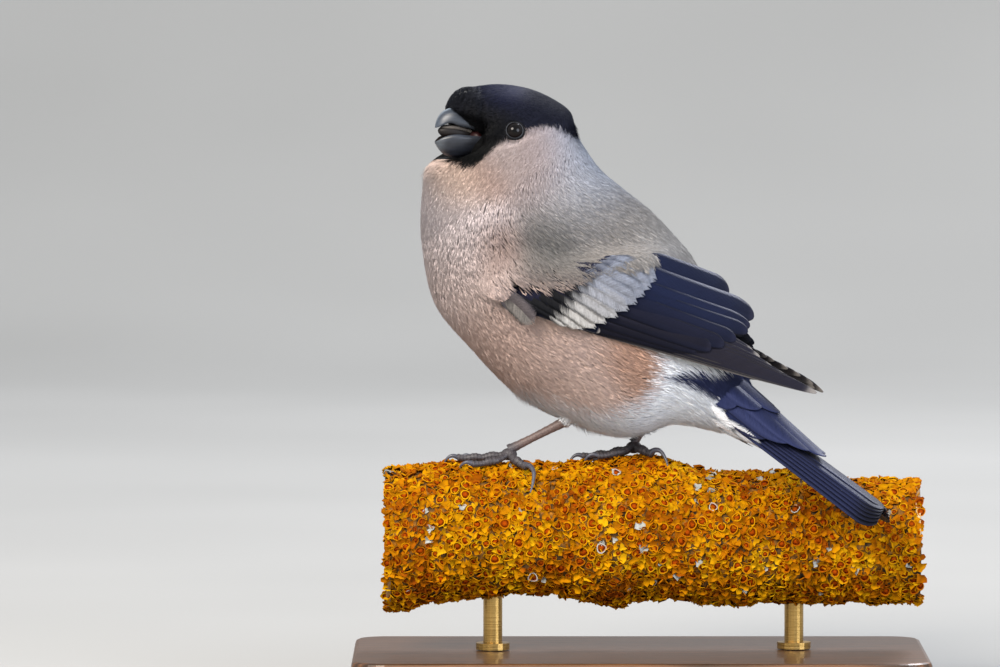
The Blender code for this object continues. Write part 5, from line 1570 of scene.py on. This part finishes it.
def claw_path(side, name, reach, turn_end):
    """Branch positions of a claw as x, turn and lift, from the toe's end to the claw's tip."""
    way = math.copysign(1.0, reach)
    x, turn = TARSUS_FOOT_X[side] + reach, FOOT_TURN[side] + turn_end
    if name == "hind" and side == "left":
        rows = ((-0.8, 3, 1.3), (0.9, -2, 1.9), (1.9, -10, 1.7), (1.6, -20, 0.9), (0.9, -28, 0.35))
    elif name == "hind":
        rows = ((-0.6, 2, 1.2), (0.9, 0, 2.4), (2.4, -3, 2.6), (3.7, -8, 1.4), (4.3, -13, -0.1))
    else:
        rows = ((-0.7, 0, 0.9), (0.8, 0, 1.6), (2.0, 0, 1.5), (3.0, 0, 0.7), (3.5, 0, -0.3))
    return [branch_place(x + way * dx, turn + dt, lift) for dx, dt, lift in rows]


def leg_material():
    made, tree, shader = new_material("scuted leg skin", "#5a5457", 0.5, {"Specular IOR Level": 0.45})
    place = add(tree, "ShaderNodeTexCoord")
    tint = add(tree, "ShaderNodeAttribute", attribute_name="plumage")
    cells = add(tree, "ShaderNodeTexVoronoi", {"Vector": place.outputs["Object"], "Scale": 1700.0}, feature="DISTANCE_TO_EDGE")
    tone = add(tree, "ShaderNodeMapRange", {"Value": cells.outputs["Distance"], "From Max": 0.25, "To Min": 0.62, "To Max": 1.15})
    mixed = add(tree, "ShaderNodeVectorMath", {0: tint.outputs["Color"], "Scale": tone.outputs[0]}, operation="SCALE")
    tree.links.new(mixed.outputs[0], shader.inputs["Base Color"])
    bump = add(tree, "ShaderNodeBump", {"Height": cells.outputs["Distance"], "Strength": 0.5, "Distance": 0.00015})
    tree.links.new(bump.outputs["Normal"], shader.inputs["Normal"])
    return made


leg_skin = leg_material()
for side in SIDES:
    piece(f"shank_{side}", joined(f"shank_{side}", [shank_part(side)]), leg_skin, (f"tarsus_{side}",))
    ankle = branch_place(TARSUS_FOOT_X[side], FOOT_TURN[side], 2.2)
    axes = (np.array((1.0, 0, 0)), np.array((0, 1.0, 0)), np.array((0, 0, 1.0)))
    parts = [ball_part(ankle, (2.2, 1.8, 1.7), axes, TOE_TONE * 0.9)]
    parts += [toe_part(side, *toe) for toe in TOES]
    piece(f"toes_{side}", joined(f"toes_{side}", parts), leg_skin, (f"foot_{side}",))
    claws = [claw_part(claw_path(side, name, reach, turn_end), 0.78 if name == "hind" else 0.62)
             for name, reach, _, turn_end, _ in TOES]
    piece(f"claws_{side}", joined(f"claws_{side}", claws), horn)

# %% [markdown]
# The thighs are cones of skin under loose down that hangs over the top of each shank. Their
# tufts start all over the cone and at the belly's edge and point down along the leg.

# %% Thigh skin and down
THIGH_BLADES = 3200
DOWN_LENGTH = 3.4


def thigh_axis(side):
    root, top = np.array(THIGH_ROOT[side]), np.array(TARSUS_TOP[side])
    low = top + (branch_place(TARSUS_FOOT_X[side], FOOT_TURN[side], 2.2) - top) * THIGH_REACH[side]
    return root, low


def thigh_skin(side):
    root, low = thigh_axis(side)
    f = np.linspace(0, 1, 30)
    path = root + (low - root) * f[:, None]
    radii = curve_rows(THIGH_RADII, f * (len(THIGH_RADII) - 1))[:, 0] - 0.8
    # The thigh's skin is the down's white at seven tenths: painted shade under the down.
    return tube_part(path, radii, WHITE_COLOUR * 0.7, 40)


def thigh_down(side):
    root, low = thigh_axis(side)
    way = unit(low - root)
    f = rng.uniform(0.0, 0.93, THIGH_BLADES) ** 0.9
    a = rng.uniform(0, 2 * math.pi, THIGH_BLADES)
    side_way = unit(np.cross(way, (0.17, 0.95, 0.26)))
    rise = np.cross(side_way, way)
    out = side_way * np.cos(a)[:, None] + rise * np.sin(a)[:, None]
    radius = curve_rows(THIGH_RADII, f * (len(THIGH_RADII) - 1))[:, 0]
    start = root + (low - root) * f[:, None] + out * (radius - 1.0)[:, None]
    length = DOWN_LENGTH * rng.uniform(0.6, 1.15, THIGH_BLADES) * (1 - 0.35 * f)
    around = np.cross(way, out) * rng.normal(0, 0.22, (THIGH_BLADES, 1))
    taper = -0.25 * out
    mid = start + (way + around) * (length * 0.5)[:, None] + out * 0.75 + taper * (length * 0.3)[:, None]
    tip = start + (way + around) * length[:, None] + out * 0.7 + taper * length[:, None]
    tint = WHITE_COLOUR * np.exp(rng.normal(0, 0.08, THIGH_BLADES))[:, None]
    uv = np.stack([0.02 + 0.45 * (a / (2 * math.pi)) + (0.5 if side == "right" else 0.0), 0.93 + 0.06 * f], 1)
    width = np.full(THIGH_BLADES, 0.26)
    # The roots of the down are at eight tenths of the tips: painted shade.
    return start, mid, tip, out, width, tint * 0.8, np.clip(tint, 0, 0.95), uv


for side in SIDES:
    piece(f"thigh_skin_{side}", joined(f"thigh_skin_{side}", [thigh_skin(side)]), bird_skin, (f"thigh_{side}",))
    piece(f"coat_thigh_{side}", blade_mesh(f"coat_thigh_{side}", *thigh_down(side)), loose_barbs)

# %% [markdown]
# ## Branch and lichen
# The perch is a length of dead branch, wholly overgrown with common orange lichen. A thin core of
# bark carries thousands of small lobes, wavy leaves one to two millimetres across, and the cups
# that spread their spores, with a yellow rim round an orange disc. Geometry Nodes strews both.

# %% Bark core and sawn ends
CORE_SINK = 0.9
CORE_LENGTHS = ((-69.0, -33.0), (-33.0, 3.0), (3.0, 39.0), (39.0, 76.0))
CORE_STEP = 0.8
CORE_SIDES = 150


def core_lift(x, turn):
    """Unevenness of the overgrown bark, smoother along the top where the feet hold it."""
    a = np.radians(turn)
    slow = np.sin(x * 0.41 + 2.2 * np.sin(a)) * np.sin(2.0 * a + x * 0.13) * 0.55
    mid = np.sin(x * 1.13 + 3.0 * np.cos(2 * a)) * np.sin(5 * a - x * 0.37) * 0.4
    fine = np.sin(x * 2.9 + 7 * a) * np.sin(11 * a + 1.7 * x) * 0.22
    top = fade(np.cos(a), 0.75, 0.95)
    return (slow + mid + fine) * (1 - 0.6 * top) - CORE_SINK


def core_mesh(name, low, high):
    count = int(round((high - low) / CORE_STEP)) + 1
    x = np.repeat(np.linspace(low, high, count), CORE_SIDES)
    turn = np.tile(np.linspace(0, 360, CORE_SIDES, endpoint=False), count)
    points = branch_place(x, turn, core_lift(x, turn))
    return mesh_of(name, points, [grid_faces(count, CORE_SIDES)[:, ::-1]])


def end_mesh(name):
    """The two sawn ends, slightly dished plates as thick as a coin."""
    parts = []
    for x, way in ((BRANCH_OUTLINE[0][0], 1.0), (BRANCH_OUTLINE[-1][0], -1.0)):
        turn = np.linspace(0, 360, 72, endpoint=False)
        rings = []
        for share, ahead in ((0.05, 0.55), (0.5, 0.45), (0.9, 0.2), (1.0, 0.1), (1.0, 1.4), (0.05, 1.4)):
            rim = branch_place(np.full(72, x), turn, -CORE_SINK - 0.1)
            centre = rim.mean(0)
            ring = centre + (rim - centre) * share
            ring[:, 0] = x + way * ahead
            rings.append(ring)
        parts.append(ring_part(np.array(rings), linear("#b08a5c")))
    return joined(name, parts)


bark, bark_tree, bark_shader = new_material("dark bark and painted shade under lichen", "#3b2a12", 0.95)
bark_place = add(bark_tree, "ShaderNodeTexCoord")
bark_noise = add(bark_tree, "ShaderNodeTexNoise", {"Vector": bark_place.outputs["Object"], "Scale": 420.0, "Detail": 6.0})
# The bark's dark tones are partly its own colour and partly painted shade for the gaps between lichen lobes.
bark_tone = add(bark_tree, "ShaderNodeValToRGB", {"Fac": bark_noise.outputs["Fac"]},
                [(0.3, "#1d1408"), (0.7, "#a8690a"), (0.5, "#5c3c0c")])
bark_tree.links.new(bark_tone.outputs["Color"], bark_shader.inputs["Base Color"])
bark_bump = add(bark_tree, "ShaderNodeBump", {"Height": bark_noise.outputs["Fac"], "Strength": 0.8, "Distance": 0.0006})
bark_tree.links.new(bark_bump.outputs["Normal"], bark_shader.inputs["Normal"])

wood, wood_tree, wood_shader = new_material("sawn end grain", "#b08a5c", 0.75)
wood_place = add(wood_tree, "ShaderNodeTexCoord")
wood_axes = add(wood_tree, "ShaderNodeMapping", {"Vector": wood_place.outputs["Object"], "Location": (0.0, 0.0, -0.041), "Scale": (0.0, 1.0, 1.0)})
wood_rings = add(wood_tree, "ShaderNodeTexWave", {"Vector": wood_axes.outputs[0], "Scale": 260.0, "Distortion": 2.5, "Detail": 3.0,
                                                   "Detail Scale": 0.6}, wave_type="RINGS", rings_direction="X")
wood_tone = add(wood_tree, "ShaderNodeValToRGB", {"Fac": wood_rings.outputs["Fac"]}, [(0.1, "#8f6a40"), (0.9, "#c9a878")])
wood_tree.links.new(wood_tone.outputs["Color"], wood_shader.inputs["Base Color"])

cores = []
for i, (low, high) in enumerate(CORE_LENGTHS):
    name = f"branch_core_{i + 1}"
    cores.append(piece(name, core_mesh(name, low, high), bark, ("perch_branch",) if i == 0 else ()))
piece("branch_ends", end_mesh("branch_ends"), wood)


# %% Lichen lobes and cups
def rosette(name, sides, rows, waves, seed):
    """A template: rings as radius, height and share of the disc's colour, closed by a point each."""
    draw = np.random.default_rng(seed)
    a = np.linspace(0, 2 * math.pi, sides, endpoint=False)
    ruffle = 1 + waves * np.sin(3 * a + draw.uniform(0, 6)) + waves * 0.7 * draw.normal(0, 1, sides)
    lift = waves * 0.9 * np.sin(2 * a + draw.uniform(0, 6)) + waves * 0.5 * draw.normal(0, 1, sides)
    rings = [np.stack([np.cos(a) * r * ruffle, np.sin(a) * r * ruffle, h + lift * r], 1) for r, h, _ in rows[1:-1]]
    points = np.concatenate([[(0, 0, rows[0][1])], *rings, [(0, 0, rows[-1][1])]])
    marks = np.concatenate([[rows[0][2]]] + [np.full(sides, row[2]) for row in rows[1:-1]] + [[rows[-1][2]]])
    k = np.arange(sides)
    after = (k + 1) % sides
    fans = np.stack([np.zeros(sides, int), 1 + k, 1 + after], 1)
    last = 1 + (len(rings) - 1) * sides
    base = np.stack([np.full(sides, len(points) - 1), last + after, last + k], 1)
    quads = [grid_faces(len(rings), sides) + 1] if len(rings) > 1 else []
    # Each point's height in the template is kept as a colour channel, for painted shade low on every lobe and cup.
    height = (points[:, 2] - points[:, 2].min()) / np.ptp(points[:, 2])
    colours = np.stack([marks, height, np.zeros(len(points))], 1)
    return mesh_of(name, points, [fans, base, *quads], colours)


LOBES = bpy.data.collections.new("lichen lobes")
CUPS = bpy.data.collections.new("lichen cups")
for i in range(5):
    rows = ((0.0, 0.10, 0.0), (1.0, 0.42, 0.0), (0.9, 0.16, 0.0), (0.0, -0.55, 0.0))
    LOBES.objects.link(bpy.data.objects.new(f"lobe {i}", rosette(f"lobe {i}", 10, rows, 0.22, 20 + i)))
for i in range(3):
    rows = ((0.0, 0.34, 1.0), (0.68, 0.38, 1.0), (0.90, 0.60, 0.0), (1.0, 0.50, 0.0), (0.0, -0.6, 0.0))
    CUPS.objects.link(bpy.data.objects.new(f"cup {i}", rosette(f"cup {i}", 12, rows, 0.06, 40 + i)))


def strewing_group():
    """Strews templates over a surface, turned every way, each with a random tint of its own."""
    group = bpy.data.node_groups.new("strew lichen", "GeometryNodeTree")
    face = group.interface
    face.new_socket("Geometry", in_out="OUTPUT", socket_type="NodeSocketGeometry")
    face.new_socket("Geometry", in_out="INPUT", socket_type="NodeSocketGeometry")
    for name, kind in (("Templates", "Collection"), ("Spacing", "Float"), ("Smallest", "Float"), ("Largest", "Float"),
                       ("Tilt", "Float"), ("Seed", "Int"), ("Material", "Material")):
        face.new_socket(name, in_out="INPUT", socket_type=f"NodeSocket{kind}")
    given = add(group, "NodeGroupInput").outputs
    spread = add(group, "GeometryNodeDistributePointsOnFaces", {
        "Mesh": given["Geometry"], "Distance Min": given["Spacing"], "Density Max": 4.0e6, "Seed": given["Seed"],
    }, distribute_method="POISSON")
    picked = add(group, "GeometryNodeCollectionInfo", {"Collection": given["Templates"], "Separate Children": True,
                                                       "Reset Children": True})
    least = add(group, "ShaderNodeCombineXYZ", {"X": 0.0, "Y": 0.0, "Z": 0.0})
    negative = add(group, "ShaderNodeMath", {0: given["Tilt"], 1: -1.0}, operation="MULTIPLY")
    group.links.new(negative.outputs[0], least.inputs["X"])
    group.links.new(negative.outputs[0], least.inputs["Y"])
    most = add(group, "ShaderNodeCombineXYZ", {"X": given["Tilt"], "Y": given["Tilt"], "Z": 2 * math.pi})
    turned = add(group, "FunctionNodeRandomValue", {"Min": least.outputs[0], "Max": most.outputs[0], "Seed": 1},
                 data_type="FLOAT_VECTOR")
    turning = add(group, "FunctionNodeEulerToRotation", {0: turned.outputs["Value"]})
    rotation = add(group, "FunctionNodeRotateRotation", {"Rotation": spread.outputs["Rotation"], "Rotate By": turning.outputs[0]},
                   rotation_space="LOCAL")
    size = add(group, "FunctionNodeRandomValue", {"Seed": 2}, data_type="FLOAT")
    group.links.new(given["Smallest"], size.inputs[2])
    group.links.new(given["Largest"], size.inputs[3])
    placed = add(group, "GeometryNodeInstanceOnPoints", {
        "Points": spread.outputs["Points"], "Instance": picked.outputs[0], "Pick Instance": True,
        "Rotation": rotation.outputs[0], "Scale": size.outputs[1],
    })
    draw = add(group, "FunctionNodeRandomValue", {"Seed": 3}, data_type="FLOAT")
    stored = add(group, "GeometryNodeStoreNamedAttribute", {"Geometry": placed.outputs[0], "Name": "tint"},
                 domain="INSTANCE", data_type="FLOAT")
    group.links.new(draw.outputs[1], stored.inputs["Value"])
    real = add(group, "GeometryNodeRealizeInstances", {"Geometry": stored.outputs[0]})
    painted = add(group, "GeometryNodeSetMaterial", {"Geometry": real.outputs[0], "Material": given["Material"]})
    out = add(group, "NodeGroupOutput")
    group.links.new(painted.outputs[0], out.inputs[0])
    return group


def strewn_mesh(name, base, group, values):
    """The mesh that the group makes over a base, with the group's inputs set by name."""
    holder = bpy.data.objects.new(name + " holder", base.data)
    bpy.context.scene.collection.objects.link(holder)
    made = holder.modifiers.new("strew", "NODES")
    made.node_group = group
    for item in group.interface.items_tree:
        if item.in_out == "INPUT" and item.name in values:
            made[item.identifier] = values[item.name]
    graph = bpy.context.evaluated_depsgraph_get()
    mesh = bpy.data.meshes.new_from_object(holder.evaluated_get(graph))
    mesh.name = name
    holder.modifiers.clear()
    bpy.data.objects.remove(holder)
    mesh.shade_smooth()
    return mesh


def lichen_material():
    made, tree, shader = new_material("orange lichen", "#f0a000", 0.9, {"Specular IOR Level": 0.06})
    place = add(tree, "ShaderNodeTexCoord")
    tint = add(tree, "ShaderNodeAttribute", attribute_name="tint")
    marks = add(tree, "ShaderNodeAttribute", attribute_name="plumage")
    axes = add(tree, "ShaderNodeSeparateXYZ", {0: marks.outputs["Color"]})
    broad = add(tree, "ShaderNodeTexNoise", {"Vector": place.outputs["Object"], "Scale": 75.0, "Detail": 2.0})
    shift = add(tree, "ShaderNodeMapRange", {"Value": broad.outputs["Fac"], "From Min": 0.35, "From Max": 0.65,
                                             "To Min": -0.25, "To Max": 0.25})
    total = add(tree, "ShaderNodeMath", {0: tint.outputs["Fac"], 1: 0.7, 2: shift.outputs[0]}, operation="MULTIPLY_ADD")
    moved = add(tree, "ShaderNodeMath", {0: total.outputs[0], 1: 0.15}, operation="ADD")
    leaf = add(tree, "ShaderNodeValToRGB", {"Fac": moved.outputs[0]},
               [(0.0, "#c99809"), (1.0, "#7d3a00"), (0.3, "#bd8200"), (0.6, "#ab6900"), (0.85, "#975000")])
    grey = add(tree, "ShaderNodeMath", {0: tint.outputs["Fac"], 1: 0.988}, operation="GREATER_THAN")
    flecked = add(tree, "ShaderNodeMix", {"Factor": grey.outputs[0]}, data_type="RGBA")
    tree.links.new(leaf.outputs["Color"], flecked.inputs[6])
    flecked.inputs[7].default_value = rgba("#a9aaa4")
    disc = add(tree, "ShaderNodeMix", {"Factor": axes.outputs["X"]}, data_type="RGBA")
    tree.links.new(flecked.outputs[2], disc.inputs[6])
    disc.inputs[7].default_value = rgba("#943c00")
    # Painted shade: the low parts of each lobe and cup darken to about a third.
    deep = add(tree, "ShaderNodeMapRange", {"Value": axes.outputs["Y"], "From Min": 0.25, "From Max": 0.75, "To Min": 0.35, "To Max": 1.0})
    mixed = add(tree, "ShaderNodeVectorMath", {0: disc.outputs[2], "Scale": deep.outputs[0]}, operation="SCALE")
    tree.links.new(mixed.outputs[0], shader.inputs["Base Color"])
    return made


lichen = lichen_material()
strewing = strewing_group()
for i, core in enumerate(cores):
    for kind, templates, spacing, smallest, largest, tilt in (
        ("lobes", LOBES, 0.00143, 0.7, 1.5, 0.6), ("cups", CUPS, 0.0025, 0.55, 1.5, 0.3),
    ):
        values = {"Templates": templates, "Spacing": spacing, "Smallest": smallest, "Largest": largest, "Tilt": tilt,
                  "Seed": 7 + i, "Material": lichen}
        name = f"lichen_{kind}_{i + 1}"
        piece(name, strewn_mesh(name, core, strewing, values), lichen)
for group in (LOBES, CUPS):
    for obj in list(group.objects):
        bpy.data.objects.remove(obj)
    bpy.data.collections.remove(group)

# %% [markdown]
# ## Stand
# The stand keeps its solids, whose shapes are plain and right. Its base is oiled walnut, with
# growth rings drawn out along the grain and fine pores, and its two rods are brushed brass, with
# scratches that run round them and a little wear.

# %% Walnut and brass
def walnut_material():
    made, tree, shader = new_material("oiled walnut", "#4a2f1c", 0.42, {"Specular IOR Level": 0.4, "Coat Weight": 0.15})
    place = add(tree, "ShaderNodeTexCoord")
    drawn = add(tree, "ShaderNodeMapping", {"Vector": place.outputs["Object"], "Scale": (9.0, 60.0, 60.0)})
    rings = add(tree, "ShaderNodeTexWave", {"Vector": drawn.outputs[0], "Scale": 1.6, "Distortion": 6.0, "Detail": 4.0,
                                            "Detail Scale": 1.4}, bands_direction="Y")
    tone = add(tree, "ShaderNodeValToRGB", {"Fac": rings.outputs["Fac"]}, [(0.0, "#38220f"), (1.0, "#6b4629"), (0.55, "#4e321c")])
    fibres = add(tree, "ShaderNodeMapping", {"Vector": place.outputs["Object"], "Scale": (150.0, 2600.0, 2600.0)})
    pores = add(tree, "ShaderNodeTexNoise", {"Vector": fibres.outputs[0], "Scale": 1.0, "Detail": 3.0})
    share = add(tree, "ShaderNodeMapRange", {"Value": pores.outputs["Fac"], "From Min": 0.3, "From Max": 0.5, "To Min": 0.6, "To Max": 1.0})
    mixed = add(tree, "ShaderNodeVectorMath", {0: tone.outputs["Color"], "Scale": share.outputs[0]}, operation="SCALE")
    tree.links.new(mixed.outputs[0], shader.inputs["Base Color"])
    bump = add(tree, "ShaderNodeBump", {"Height": pores.outputs["Fac"], "Strength": 0.25, "Distance": 0.0001})
    tree.links.new(bump.outputs["Normal"], shader.inputs["Normal"])
    return made


def brass_material():
    made, tree, shader = new_material("brushed brass", "#b08d4f", 0.3, {"Metallic": 1.0})
    place = add(tree, "ShaderNodeTexCoord")
    turned = add(tree, "ShaderNodeMapping", {"Vector": place.outputs["Object"], "Scale": (120.0, 120.0, 9000.0)})
    lines = add(tree, "ShaderNodeTexNoise", {"Vector": turned.outputs[0], "Scale": 1.0, "Detail": 4.0})
    tone = add(tree, "ShaderNodeValToRGB", {"Fac": lines.outputs["Fac"]}, [(0.3, "#94743a"), (0.7, "#c2a062")])
    tree.links.new(tone.outputs["Color"], shader.inputs["Base Color"])
    rough = add(tree, "ShaderNodeMapRange", {"Value": lines.outputs["Fac"], "From Min": 0.3, "From Max": 0.7, "To Min": 0.22, "To Max": 0.42})
    tree.links.new(rough.outputs[0], shader.inputs["Roughness"])
    bump = add(tree, "ShaderNodeBump", {"Height": lines.outputs["Fac"], "Strength": 0.15, "Distance": 0.00005})
    tree.links.new(bump.outputs["Normal"], shader.inputs["Normal"])
    return made


walnut, brass = walnut_material(), brass_material()
for node, finish in (("stand_base", walnut), ("stand_rod_1", brass), ("stand_rod_2", brass)):
    for place in frame["nodes"][node].material_slots:
        place.material = finish
    print(node, "wears", finish.name)
